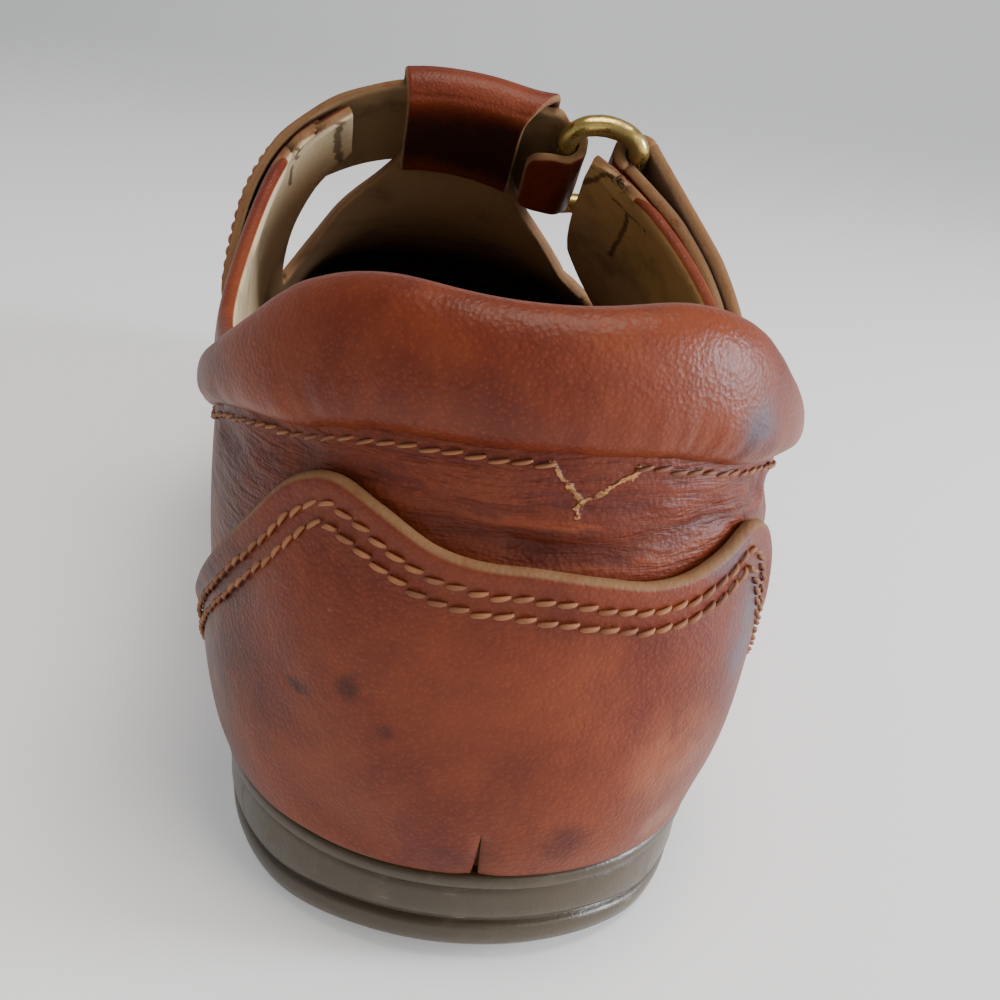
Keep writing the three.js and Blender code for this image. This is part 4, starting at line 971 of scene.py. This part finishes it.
def collar_frame(places):
    """Along the topline: its points, the way out of the leather, the way down, and how full the pad is."""
    rise = rise_to(places, topline_height)
    point = face(places, rise)
    outward = normal(places, rise)
    run = np.gradient(point, axis=0)
    down = unit(np.cross(run, outward))
    down *= np.sign(-down[:, 2:3])
    fullness = fade(point[:, 1], station(0.24), station(0.10))
    deep = np.maximum(point[:, 2] - seam_height(places), EDGE_ROLL) / -down[:, 2]
    return point, outward, down, fullness, deep


def collar_points(steps, sides):
    places = collar_places(steps)
    point, outward, down, fullness, deep = collar_frame(places)
    from_end = np.minimum(np.arange(steps), np.arange(steps)[::-1])
    ends = np.sqrt(np.clip(1 - (1 - np.clip(from_end / 4, 0, 1)) ** 2, 0.02, 1))
    deep = deep / 2
    out = COLLAR_PUFF_OUT * fullness - 0.1
    inward = EDGE_PUFF + (COLLAR_PUFF_IN - EDGE_PUFF) * fullness
    thick = (out + UPPER_WALL + inward) / 2
    middle = point + down * deep[:, None] + outward * (out - thick)[:, None]
    rings = []
    pucker = np.sin(places * 92) * 0.12 + np.sin(places * 29 + 1) * 0.22 + np.sin(places * 13) * 0.18
    for k in range(sides):
        angle = 2 * math.pi * k / sides
        high, side = math.cos(angle), math.sin(angle)
        square = (abs(high) ** 2.5 + abs(side) ** 2.5) ** (-1 / 2.5)
        seam = fade(-high, 0.2, 0.8) * max(side, 0)
        lift = pucker * seam * fullness
        reach = down * (-deep * high * square)[:, None] + outward * (thick * side * square + lift)[:, None]
        rings.append(middle + reach * ends[:, None])
    return np.stack(rings, 1), places


points, places = collar_points(330, 34)
rows, sides = points.shape[:2]
caps = np.stack([points[0].mean(0), points[-1].mean(0)])
quads = grid_quads(rows, sides, True)
ring = np.arange(sides)
after = (ring + 1) % sides
start_cap = np.stack([ring, ring, np.full(sides, rows * sides), after], -1)
last = (rows - 1) * sides
end_cap = np.stack([last + after, last + after, np.full(sides, rows * sides + 1), last + ring], -1)
angle = 2 * np.pi * ring / sides
inside = np.clip(0.55 - np.sin(angle) * 1.1 - fade(np.cos(angle), 0.1, 0.9) * 0.5, 0, 1)
inside = np.concatenate([np.tile(inside, rows), [0.5, 0.5]])
nothing = np.zeros(rows * sides + 2)
collar = make_piece("padded_collar", np.concatenate([points.reshape(-1, 3), caps]),
                    np.concatenate([quads, start_cap, end_cap])[:, ::-1], ["upper"], "upper",
                    inside=inside, cut=nothing, fold=nothing)
collar.data.materials.append(cowhide(
    "collar_cowhide", LININGS, warm=0.75, gloss=0.34,
    # A blue grey patch of painted window reflection on the outer side, and a dark patch of painted shade on
    # the inner side
    stains_and_painted_light=[((26.5, -29, 70.5), (5, 8, 5), 0.9, PAINTED_WINDOW_BLUE_GREY), ((-36, -12, 66), (9, 16, 8), 0.7, BURGUNDY)]))


# HEEL COUNTER
# A second layer of the same cowhide wrapped over the heel and into the sole. Its scalloped top is
# cut raw and held by two rows of stitches, and a dart in the middle of the back takes up the curve.

COUNTER_LIFT = 0.3
COUNTER_THICKNESS = 1.6
RIM_SWELL = 0.45
STITCH_DIP = 0.25
DART = {"height": 8.0, "width": 1.1}
# Dents and swellings: distance round the heel, height, half width, half height, depth
COUNTER_DENTS = [(-15, 40, 1.6, 2.2, -0.22), (-11, 37, 1.2, 1.6, -0.2), (-22, 37, 1.6, 1.4, -0.2),
                 (20, 30, 9, 5, 0.35), (-20, 26, 10, 5, 0.3), (28, 44, 6, 9, -0.3)]
SPOT = (0.03, 0.008, 0.006)


def counter_sheet():
    half = np.concatenate([[0.0, 0.012], np.linspace(0.03, 1.16, 72)])
    places = np.concatenate([-half[:0:-1], half])
    rows, columns = len(places), 44
    top = rise_to(places, lambda y: counter_top(places) - 0.5)
    share = np.linspace(0, 1, columns)
    around = np.repeat(places, columns)
    rise = (top[:, None] * share).ravel()
    lows = lip_height(face(around, 0 * rise)[:, 1]) + 0.5
    quads = grid_quads(rows, columns)[:, ::-1]
    return around, rise, lows, quads, (np.broadcast_to(share, (rows, columns))).ravel()


around, rise, lows, quads, up = counter_sheet()
point = face(around, rise)
centre = np.abs(around) < 0.013
dart_share = np.clip(1 - (point[:, 2] - SOLE_HEIGHT) / DART["height"], 0, 1)
beside = centre & (around != 0) & (dart_share > 0)
shift = np.sign(around) * (DART["width"] / 2 * dart_share - np.abs(point[:, 0])) * beside
quads = quads[~((np.abs(around[quads]) < 0.013).all(1) & (dart_share[quads] > 0).all(1))]
hollow = -0.35 * np.exp(-(point[:, 0] / 2.2) ** 2) * fade(point[:, 2], 26, 17)
wave = (0.35 * np.sin(around * 7 + 0.6) * np.sin(point[:, 2] / 9)
        + 0.22 * np.sin(around * 15 + point[:, 2] / 6))
dents = sum(depth * np.exp(-((around * HEEL_ARC - a) / w) ** 2 - ((point[:, 2] - z) / h) ** 2)
            for a, z, w, h, depth in COUNTER_DENTS)
stitch_dip = -STITCH_DIP * (fade(up, 0.80, 0.90) - fade(up, 0.93, 0.99))
relief = (wave + dents) * fade(up, 0, 0.2) * fade(up, 1.0, 0.75) + hollow
rim_swell = RIM_SWELL * fade(up, 0.955, 1.0)
outer = skin(around, rise, COUNTER_LIFT + COUNTER_THICKNESS + relief + stitch_dip + rim_swell)
inner = skin(around, rise, np.full(len(rise), COUNTER_LIFT))
for side_points in (outer, inner):
    side_points[:, 0] += shift
    side_points[:, 2] = np.maximum(side_points[:, 2], lows)
bulge = np.where(centre & (dart_share > 0), 0.12, 1.0)
counter = rounded_piece("heel_counter_leather", outer, inner, quads, ["heel_counter"], "heel_counter",
                        bulge=bulge, fold=dents)
counter.data.materials.append(cowhide(
    "counter_cowhide", (0.30, 0.17, 0.09), warm=0.35, gloss=0.36, scuffs=0.45,
    # Blue grey patches of painted window reflection on the outer side of the counter
    stains_and_painted_light=[((31, -22, 43), (6.5, 9, 12), 0.9, PAINTED_WINDOW_BLUE_GREY), ((25, -29, 56), (6, 8, 5), 0.8, PAINTED_WINDOW_BLUE_GREY),
            # A large dark patch of painted shade over the inner side of the heel
            ((-40, -12, 36), (22, 26, 34), 1.0, (0.045, 0.0075, 0.0045)),
            ((-17, -36, 38.5), (2.2, 5, 2.4), 0.65, SPOT),
            ((-12.5, -38, 34), (1.6, 5, 1.4), 0.6, SPOT),
            ((-23, -33, 36), (2.4, 5, 1.4), 0.9, SPOT),
            ((10, -36, 20), (5, 6, 4), 0.7, BURGUNDY), ((-4, -38, 17), (9, 6, 3), 0.6, BURGUNDY),
            ((22, -30, 30), (11, 12, 9), 0.8, (0.26, 0.072, 0.028)),
            ((24, -28, 18), (5, 8, 3), 0.7, (0.24, 0.11, 0.050))]))


# STITCHING
# Waxed tan thread in short lockstitches, each one pulled a little into the leather: two rows round
# the counter, one along the collar's foot, and rows that hold the straps and linings.

STITCH_PITCH = 2.45
# Where the collar's seam has lost its stitches, by x
TORN = {"from": 3.2, "to": 11.6}


def sew(name, path, outward, nodes, slot, thread=0.64, sink=0.02):
    """Stitches along a path of points, each a short bowed thread that dips in at both ends."""
    steps = np.linalg.norm(np.diff(path, axis=0), axis=1)
    length = np.concatenate([[0], np.cumsum(steps)])
    count = max(1, int(length[-1] / STITCH_PITCH))
    pitch = length[-1] / count
    sides, rings = 6, 6
    turn = 2 * np.pi * np.arange(sides) / sides
    points, quads = [], []
    for k in range(count):
        wobble = 0.10 * math.sin(k * 2.4) + 0.06 * math.sin(k * 5.1 + 1)
        spots = (k + 0.5 + (np.linspace(-0.45, 0.45, rings))) * pitch
        centre = np.stack([np.interp(spots, length, path[:, axis]) for axis in range(3)], -1)
        out = unit(np.stack([np.interp(spots, length, outward[:, axis]) for axis in range(3)], -1))
        ahead = unit(centre[-1:] - centre[:1])
        across = unit(np.cross(out, ahead))
        bow = np.sin(np.linspace(0, np.pi, rings))
        centre = centre + out * (bow ** 0.6 * thread * 0.50 - sink - thread * 0.18)[:, None] + across * wobble
        centre += across * np.linspace(-0.24, 0.24, rings)[:, None]
        radius = thread / 2 * (0.60 + 0.40 * bow ** 0.5)
        loop = (centre[:, None] + radius[:, None, None] * (np.cos(turn)[None, :, None] * out[:, None]
                + np.sin(turn)[None, :, None] * across[:, None])).reshape(-1, 3)
        start = len(points) * (sides * rings + 2)
        points.append(np.concatenate([loop, centre[:1], centre[-1:]]))
        quads.append(grid_quads(rings, sides, True) + start)
        ring = np.arange(sides)
        after = (ring + 1) % sides
        first = np.full(sides, sides * rings)
        quads.append(np.stack([after, ring, first, first], -1) + start)
        last = (rings - 1) * sides
        quads.append(np.stack([last + ring, last + after, first + 1, first + 1], -1) + start)
    sewn = make_piece(name, np.concatenate(points), np.concatenate(quads)[:, ::-1], nodes, slot)
    sewn.data.materials.append(TAN_THREAD)
    return sewn


def waxed_thread(name, light, dark):
    material, place, own, shader = new_material(name)
    worn = place.noise(7, 4).rise(0.35, 0.65)
    fibre = place.noise(0.18, 2, stretch=(1, 1, 3))
    feed(shader, Base_Color=(worn * 0.7 + fibre * 0.3).colour(dark, light), Roughness=0.62,
         Normal=bumped(fibre, 0.06))
    return material


TAN_THREAD = waxed_thread("tan_thread", THREAD, (0.150, 0.048, 0.018))


def off_edge(places, top_at, lift, inset):
    """A row on the form that runs a distance inside an edge of the leather."""
    rise = rise_to(places, top_at)
    point = face(places, rise)
    run = unit(np.gradient(point, axis=0))
    outward = normal(places, rise)
    down = np.cross(run, outward)
    down *= np.sign(-down[:, 2:3])
    spot = point + unit(down) * np.reshape(inset, (-1, 1))
    around, up = places.copy(), rise.copy()
    for _ in range(6):
        here = face(around, up)
        step = 0.002
        by_around = (face(around + step, up) - here) / step
        by_rise = (face(around, up + step) - here) / step
        gap = spot - here
        a = (by_around ** 2).sum(1)
        b = (by_around * by_rise).sum(1)
        c = (by_rise ** 2).sum(1)
        p = (gap * by_around).sum(1)
        q = (gap * by_rise).sum(1)
        around = around + (c * p - b * q) / (a * c - b * b)
        up = np.clip(up + (a * q - b * p) / (a * c - b * b), 0, 1)
    return skin(around, up, np.full(len(up), lift)), normal(around, up)


counter_places = np.linspace(-1.12, 1.12, 500)
for row, inset in (("upper", 3.0), ("lower", 5.3)):
    path, outward = off_edge(counter_places, lambda y: counter_top(counter_places),
                             COUNTER_LIFT + COUNTER_THICKNESS, inset)
    kept = path[:, 2] > lip_height(path[:, 1]) + 2
    sew("counter_stitches_" + row, path[kept], outward[kept], ["heel_counter"], "heel_counter")
seam_places = collar_places(600)[60:-60]
*_, deep = collar_frame(seam_places)
path, seam_out = off_edge(seam_places, topline_height, 0.15, 1.3 + deep)
for word, part in (("medial", path[:, 0] < TORN["from"]), ("lateral", path[:, 0] > TORN["to"])):
    sew("collar_seam_stitches_" + word, path[part], seam_out[part], ["upper"], "upper", thread=0.54)


# INSTEP STRAP
# A strap of lined cowhide sewn to the outside of the inner quarter: it runs up over the instep
# through the T-bar's fold, round the ring's inner bar, and back under itself as a short tab.

STRAP_LIFT = 0.6
STRAP_THICKNESS = 1.8
RING_ROD = 4.2
RING_ACROSS = 14.0
RING_BEND = 3.5
RING_BOW = 2.6
RING_INNER_X = 16.8
RING_RAISE = 7.6
TAB_LENGTH = 6.5
CLOSURE_THICKNESS = 2.6
GAP = 0.3
INSTEP_STRAP = {
    "girth": [-0.660, -0.648, -0.625, -0.560, -0.480, -0.400, -0.320, -0.240, -0.160, -0.080, 0.000, 0.080],
    "back": [0.080, 0.077, 0.072, 0.056, 0.036, 0.018, 0.006, 0.001, 0.000, 0.000, 0.000, 0.000],
    "breadth": [0.60, 0.86, 1, 1, 1, 1, 1, 1, 1, 1, 1, 1],
}
CLOSURE_STRAP = {
    "girth": [0.705, 0.693, 0.668, 0.600, 0.540, 0.485, 0.440],
    "back": [0.134, 0.130, 0.122, 0.098, 0.075, 0.053, 0.035],
    "breadth": [0.62, 0.88, 1, 1, 1, 1, 1],
}
ACROSS = np.linspace(-0.5, 0.5, 9)

ring_centre = on_top(RING_INNER_X, STRAP_FORWARD, GAP)
ring_along = unit(on_top(RING_INNER_X, STRAP_FORWARD + STRAP_WIDTH / 2, 0)
                  - on_top(RING_INNER_X, STRAP_FORWARD - STRAP_WIDTH / 2, 0))
ring_across = on_top(RING_INNER_X + RING_ACROSS * 0.9, STRAP_FORWARD, RING_RAISE) - ring_centre
ring_across = unit(ring_across - ring_along * (ring_across @ ring_along))
ring_out = np.cross(ring_across, ring_along)


def at_ring(a, b, n):
    a, b, n = np.broadcast_arrays(a, b, n)
    return ring_centre + a[..., None] * ring_across + b[..., None] * ring_along + n[..., None] * ring_out


def across_strap(girth, back, breadth, lift):
    return wrap(girth, STRAP_FORWARD - back * LENGTH + ACROSS * breadth * STRAP_WIDTH, lift)


def strap_lift(x):
    climb = ease(np.clip((x - BAR["lateral"] + 1) / (RING_INNER_X - BAR["lateral"] + 1), 0, 1))
    low = STRAP_LIFT + STRAP_THICKNESS / 2
    return low + (RING_ROD / 2 + 2 * GAP + STRAP_THICKNESS / 2 - low) * climb


def finer(grid, rows, columns):
    """A smoother grid through the points of a coarse one."""
    grid = np.stack([curve_through(column, rows) for column in np.swapaxes(grid, 0, 1)], 1)
    return np.stack([curve_through(row, columns) for row in grid], 0)


def grid_normals(grid):
    return unit(np.cross(np.gradient(grid, axis=0), np.gradient(grid, axis=1)))


def band_piece(name, grid, thickness, nodes, slot, bulge=0.6, flip=1, relief=0, **values):
    """A strap about a grid of points: lengthwise rows, each running across the strap."""
    rows, columns = grid.shape[:2]
    out = grid_normals(grid) * flip
    relief = np.broadcast_to(relief, (rows, columns))[..., None]
    outer = (grid + out * (thickness / 2 + relief)).reshape(-1, 3)
    inner = (grid - out * (thickness / 2)).reshape(-1, 3)
    quads = grid_quads(rows, columns)
    quads = quads[:, ::-1] if flip > 0 else quads
    fold = np.broadcast_to(relief[..., 0], (rows, columns)).ravel()
    return rounded_piece(name, outer, inner, quads, nodes, slot, bulge=bulge, fold=fold, **values)


grid = [across_strap(g, b, w, STRAP_LIFT + STRAP_THICKNESS / 2) for g, b, w in zip(*INSTEP_STRAP.values())]
for share in (0.35, 0.65):
    x = BAR["lateral"] + (RING_INNER_X - BAR["lateral"]) * share
    grid.append(on_top(x, STRAP_FORWARD + ACROSS * STRAP_WIDTH, strap_lift(x)))
turned = RING_ROD / 2 + GAP + STRAP_THICKNESS / 2
for k in range(7):
    angle = math.pi / 2 - k * math.pi / 6
    narrowed = ACROSS * STRAP_WIDTH * (1 - 0.02 * k)
    grid.append(at_ring(turned * math.cos(angle), narrowed, turned * math.sin(angle)))
for share, breadth in ((0.5, 0.86), (0.85, 0.78), (1.0, 0.62)):
    grid.append(at_ring(-TAB_LENGTH * share, ACROSS * STRAP_WIDTH * breadth, -turned))
instep = finer(np.stack(grid), 4, 3)
ripple = 0.12 * np.sin(np.arange(instep.shape[0]) * 0.9)[:, None] * np.cos(np.linspace(0, 5, instep.shape[1]))
strap = band_piece("instep_strap_leather", instep, STRAP_THICKNESS, ["instep_strap"], "instep_strap",
                   relief=ripple)
strap.data.materials.append(cowhide("strap_cowhide", (0.300, 0.190, 0.095), warm=0.3, gloss=0.42))


def sew_across_grid(name, grid, columns, thickness, nodes, slot, flip=1, **more):
    out = grid_normals(grid) * flip
    for number, column in enumerate(columns):
        path = grid[:, column] + out[:, column] * thickness / 2
        sew(f"{name}_{number + 1}", path, out[:, column], nodes, slot, **more)


sew_across_grid("instep_strap_stitches", instep[8:60], (2, instep.shape[1] - 3), STRAP_THICKNESS,
                ["instep_strap"], "instep_strap", thread=0.5)


# CLOSURE STRAP
# The closing strap: hook and loop tape between two leathers, sewn to the outer quarter. It goes up
# over the quarter, under the ring's outer bar, and is folded back down on itself.

turned = RING_ROD / 2 + GAP + CLOSURE_THICKNESS / 2
low = STRAP_LIFT + CLOSURE_THICKNESS / 2
rows = list(zip(*CLOSURE_STRAP.values()))
grid = [across_strap(*row, low) for row in rows]
for k in range(10):
    angle = math.pi * (1.42 - 1.3 * k / 9)
    reach = RING_ACROSS + turned * math.cos(angle)
    grid.append(at_ring(reach, ACROSS * STRAP_WIDTH, turned * math.sin(angle)))
for row in rows[-2::-1]:
    grid.append(across_strap(*row, low + CLOSURE_THICKNESS + GAP))
closure = finer(np.stack(grid), 4, 3)
ripple = (0.2 * np.sin(np.arange(closure.shape[0]) * 0.55 + 1)[:, None]
          * np.cos(np.linspace(0.5, 4, closure.shape[1])))
closing = band_piece("closure_strap_leather", closure, CLOSURE_THICKNESS, ["closure_strap"], "closure_strap",
                     relief=ripple * 0.5)
closing.data.materials.append(
    cowhide("closure_cowhide", (0.200, 0.120, 0.070), warm=0.3, gloss=0.48, scuffs=0.6))


sew_across_grid("closure_strap_stitches", closure[70:87], (2, closure.shape[1] - 3), CLOSURE_THICKNESS,
                ["closure_strap"], "closure_strap", flip=-1, thread=0.55)


# RING
# A cast brass rectangle with rounded rails that bow outwards, dulled by handling. The straps turn
# round its two long bars.

def ring_points(sides=20, steps=10):
    half_across = RING_ACROSS / 2
    half_along = STRAP_WIDTH / 2 + GAP + RING_BEND
    spots = []
    for corner, (sign_a, sign_b) in enumerate(((1, -1), (1, 1), (-1, 1), (-1, -1))):
        for k in range(steps + 1):
            angle = (corner - 1 + k / steps) * math.pi / 2
            a = half_across + sign_a * (half_across - RING_BEND) + RING_BEND * math.cos(angle)
            b = sign_b * (half_along - RING_BEND) + RING_BEND * math.sin(angle)
            spots.append((a, b, math.cos(angle), math.sin(angle)))
        if corner in (1, 3):
            for share in (0.75, 0.5, 0.25) if corner == 1 else (0.25, 0.5, 0.75):
                a = RING_BEND + (RING_ACROSS - 2 * RING_BEND) * share
                spots.append((a, sign_b * half_along, 0, sign_b))
    loops = []
    for a, b, out_a, out_b in spots:
        beyond = ease(np.clip((abs(b) - STRAP_WIDTH / 2 + RING_BEND) / RING_BEND, 0, 1))
        bow = RING_BOW * beyond * max(1 - ((a - half_across) / half_across) ** 2, 0)
        angle = 2 * np.pi * np.arange(sides) / sides
        wide = RING_ROD / 2 * np.cos(angle)
        loops.append(at_ring(a + wide * out_a, b + wide * out_b, bow + RING_ROD / 2 * np.sin(angle)))
    return np.stack(loops)


def aged_brass():
    material, place, own, shader = new_material("aged_brass")
    tarnish = place.noise(4, 5, 0.65).rise(0.40, 0.68)
    scratches = place.noise(0.9, 3, stretch=(0.2, 1.5, 0.6)).rise(0.60, 0.72)
    tint = tarnish.colour((0.46, 0.33, 0.10), (0.24, 0.17, 0.065))
    tint = (scratches * 0.5).colour(tint, (0.62, 0.50, 0.24))
    feed(shader, Base_Color=tint, Metallic=0.92 - tarnish * 0.25, Roughness=0.24 + tarnish * 0.30,
         Normal=bumped(place.noise(0.8, 3) + scratches * 0.3, 0.05))
    return material


loops = ring_points()
quads = grid_quads(len(loops) + 1, loops.shape[1], True) % (len(loops) * loops.shape[1])
ring_piece = make_piece("brass_ring", loops.reshape(-1, 3), quads[:, ::-1], ["ring"], "ring")
ring_piece.data.materials.append(aged_brass())


# T-BAR SLEEVE
# The end of the T-bar, split thin and folded back over the instep strap, then sewn down inside the
# shoe. The fold is smooth and polished, and its sides show the raw cut edge.

SLEEVE_THICKNESS = 1.8
SLEEVE_OVERHANG = 4.6
SLEEVE_LEG = 19.0
# Creases across the fold: place along it, from 0 at the front to 14 at the leg's end, and depth
SLEEVE_CREASES = ((6.2, -0.3), (7.4, -0.28), (10.2, -0.2))


def sleeve_grid(columns=9):
    half = SLEEVE_THICKNESS / 2
    leg_lift = -(UPPER_WALL + GAP + half)
    front = STRAP_FORWARD + STRAP_WIDTH / 2
    rear = STRAP_REAR
    rows = []
    for share in np.linspace(0, 1, columns):
        top_x = BAR["medial"] + (BAR["lateral"] + SLEEVE_OVERHANG - BAR["medial"]) * share
        leg_x = BAR["medial"] + (BAR["lateral"] - BAR["medial"]) * share
        lift = strap_lift(top_x) + STRAP_THICKNESS / 2 + 1.5 * GAP + half
        row = [on_top(top_x, front + 4.4 * SLEEVE_THICKNESS, GAP + half),
               on_top(top_x, front + 3.2 * SLEEVE_THICKNESS, GAP + half),
               on_top(top_x, front + 1.3 * SLEEVE_THICKNESS, lift)]
        row += [on_top(top_x, front + (rear - front) * back, lift) for back in (0.05, 0.35, 0.7, 0.95)]
        middle, radius = (lift + leg_lift) / 2, (lift - leg_lift) / 2
        for k in range(1, 6):
            angle = math.pi * k / 6
            x = top_x + (leg_x - top_x) * ease(k / 6)
            row.append(on_top(x, rear - radius * 0.9 * math.sin(angle), middle + radius * math.cos(angle)))
        row += [on_top(leg_x, rear + SLEEVE_LEG * forward, leg_lift) for forward in (0.1, 0.55, 1)]
        rows.append(np.array(row))
    return np.stack(rows)


sleeve = finer(sleeve_grid(), 4, 5)
lengthwise = np.linspace(0, 14, sleeve.shape[1])
creases = sum(depth * np.exp(-((lengthwise - at) / 0.22) ** 2) for at, depth in SLEEVE_CREASES)
creases = creases * (0.7 + 0.3 * np.sin(np.linspace(0, 7, sleeve.shape[0])))[:, None]
folded_bar = band_piece("t_bar_sleeve_leather", sleeve, SLEEVE_THICKNESS, ["t_bar_sleeve"], "t_bar_sleeve",
                        flip=-1, relief=creases)
folded_bar.data.materials.append(cowhide(
    "sleeve_cowhide", (0.110, 0.045, 0.022), warm=0.35, gloss=0.36, scuffs=0.15,
    # Painted shade over the sleeve's rear, where it turns down inside the shoe
    stains_and_painted_light=[((-3, 92, 74), (44, 22, 20), 2.2, (0.030, 0.0085, 0.0055))]))


# CAMERA, FLOOR AND LIGHT
# The photograph's own camera, found by fitting the last to the picture, with this one shoe made larger in the
# frame. A window on the outer side gives the gloss, and a ceiling lamp the rest; the paper round the shoe
# glows as painted light, dimmer on the shoe's inner side.

# The photograph's pixel that is the middle of this frame, and its focal length, in its pixels
PHOTO_CENTRE = (720, 466)
PHOTO_FOCAL = 847.2
ENLARGED = 1.62
CAMERA = {"azimuth": 9.053, "elevation": 23.246, "roll": 1.085, "place": (-17.95, -173.9, 112.7)}


def aim_camera():
    """Stands the camera where the photograph was taken from and turns it to this shoe of the pair."""
    azimuth, elevation, roll = (math.radians(CAMERA[word]) for word in ("azimuth", "elevation", "roll"))
    forward = Vector((-math.sin(azimuth) * math.cos(elevation), math.cos(azimuth) * math.cos(elevation),
                      -math.sin(elevation)))
    right = Vector((math.cos(azimuth), math.sin(azimuth), 0))
    up = right.cross(forward)
    photo_right = right * math.cos(roll) + up * math.sin(roll)
    photo_up = up * math.cos(roll) - right * math.sin(roll)
    aim = (forward + photo_right * ((PHOTO_CENTRE[0] - 500) / PHOTO_FOCAL)
           + photo_up * ((500 - PHOTO_CENTRE[1]) / PHOTO_FOCAL)).normalized()
    side = aim.cross(photo_up).normalized()
    top = side.cross(aim)
    camera = bpy.data.objects.new("camera", bpy.data.cameras.new("camera"))
    bpy.context.scene.collection.objects.link(camera)
    turned = Matrix((side, top, -aim)).transposed().to_4x4()
    camera.matrix_world = Matrix.Translation(Vector(CAMERA["place"]) * MM) @ turned
    camera.data.sensor_width = 36
    camera.data.lens = 36 * PHOTO_FOCAL * ENLARGED / 1000
    camera.data.clip_start = 0.01
    bpy.context.scene.camera = camera


aim_camera()

# A sheet of white paper that lies flat and bends up all round, in metres
BOWL = {"middle": 0.4, "flat": 1.9, "bend": 1.5, "high": 1.6, "sides": 72}


def paper_bowl():
    profile = [(BOWL["middle"], 0.0)]
    for angle in np.linspace(0, math.pi / 2, 17):
        profile.append((BOWL["flat"] + BOWL["bend"] * math.sin(angle), BOWL["bend"] * (1 - math.cos(angle))))
    profile.append((BOWL["flat"] + BOWL["bend"], BOWL["high"]))
    turn = 2 * np.pi * np.arange(BOWL["sides"]) / BOWL["sides"]
    corners = np.concatenate([np.stack([r * np.cos(turn), r * np.sin(turn), 0 * turn + z], -1)
                              for r, z in profile])
    mesh = bpy.data.meshes.new("floor")
    faces = grid_quads(len(profile), BOWL["sides"], True)[:, ::-1].tolist() + [list(range(BOWL["sides"]))]
    mesh.from_pydata(corners.tolist(), [], faces)
    mesh.shade_smooth()
    bowl = bpy.data.objects.new("floor", mesh)
    bpy.context.scene.collection.objects.link(bowl)
    return bowl


floor = paper_bowl()
paper, place, own, shader = new_material("glowing_white_paper")
# The paper glows as painted light, dim at -1.2 m and full at +0.5 m along x, so the shoe's inner side gets
# less light
bright = place.node("ShaderNodeSeparateXYZ", {}, {0: place}, out=0).rise(-1200, 500)
feed(shader, Base_Color=(0.88, 0.88, 0.88), Roughness=0.9, Emission_Strength=0.30,
     Emission_Color=bright.colour((0.25, 0.25, 0.25), (1.0, 1.0, 1.0)))
floor.data.materials.append(paper)
world = bpy.data.worlds.new("studio")
bpy.context.scene.world = world
world.use_nodes = True
world.node_tree.nodes["Background"].inputs["Color"].default_value = (0.93, 0.96, 1.0, 1)
world.node_tree.nodes["Background"].inputs["Strength"].default_value = 0.34


def add_light(name, place, target, size, power, colour):
    light = bpy.data.objects.new(name, bpy.data.lights.new(name, "AREA"))
    light.data.shape = "RECTANGLE"
    light.data.size, light.data.size_y = size
    light.data.energy = power
    light.data.color = colour
    light.location = place
    light.rotation_euler = (Vector(target) - Vector(place)).to_track_quat("-Z", "Y").to_euler()
    bpy.context.scene.collection.objects.link(light)


LIGHTS = {
    "window": {"place": (0.85, -0.06, 0.22), "target": (0.02, 0, 0.06), "size": (0.26, 0.30),
               "power": 9, "colour": (0.84, 0.89, 1.0)},
    "ceiling": {"place": (0.15, -0.15, 0.95), "target": (0, 0.03, 0.05), "size": (0.5, 0.5),
                "power": 7, "colour": (1.0, 0.95, 0.86)},
    "front": {"place": (0.62, -0.65, 0.42), "target": (0, 0, 0.05), "size": (0.5, 0.4),
              "power": 1.6, "colour": (1.0, 0.94, 0.88)},
}
for word, settings in LIGHTS.items():
    add_light(word, **settings)
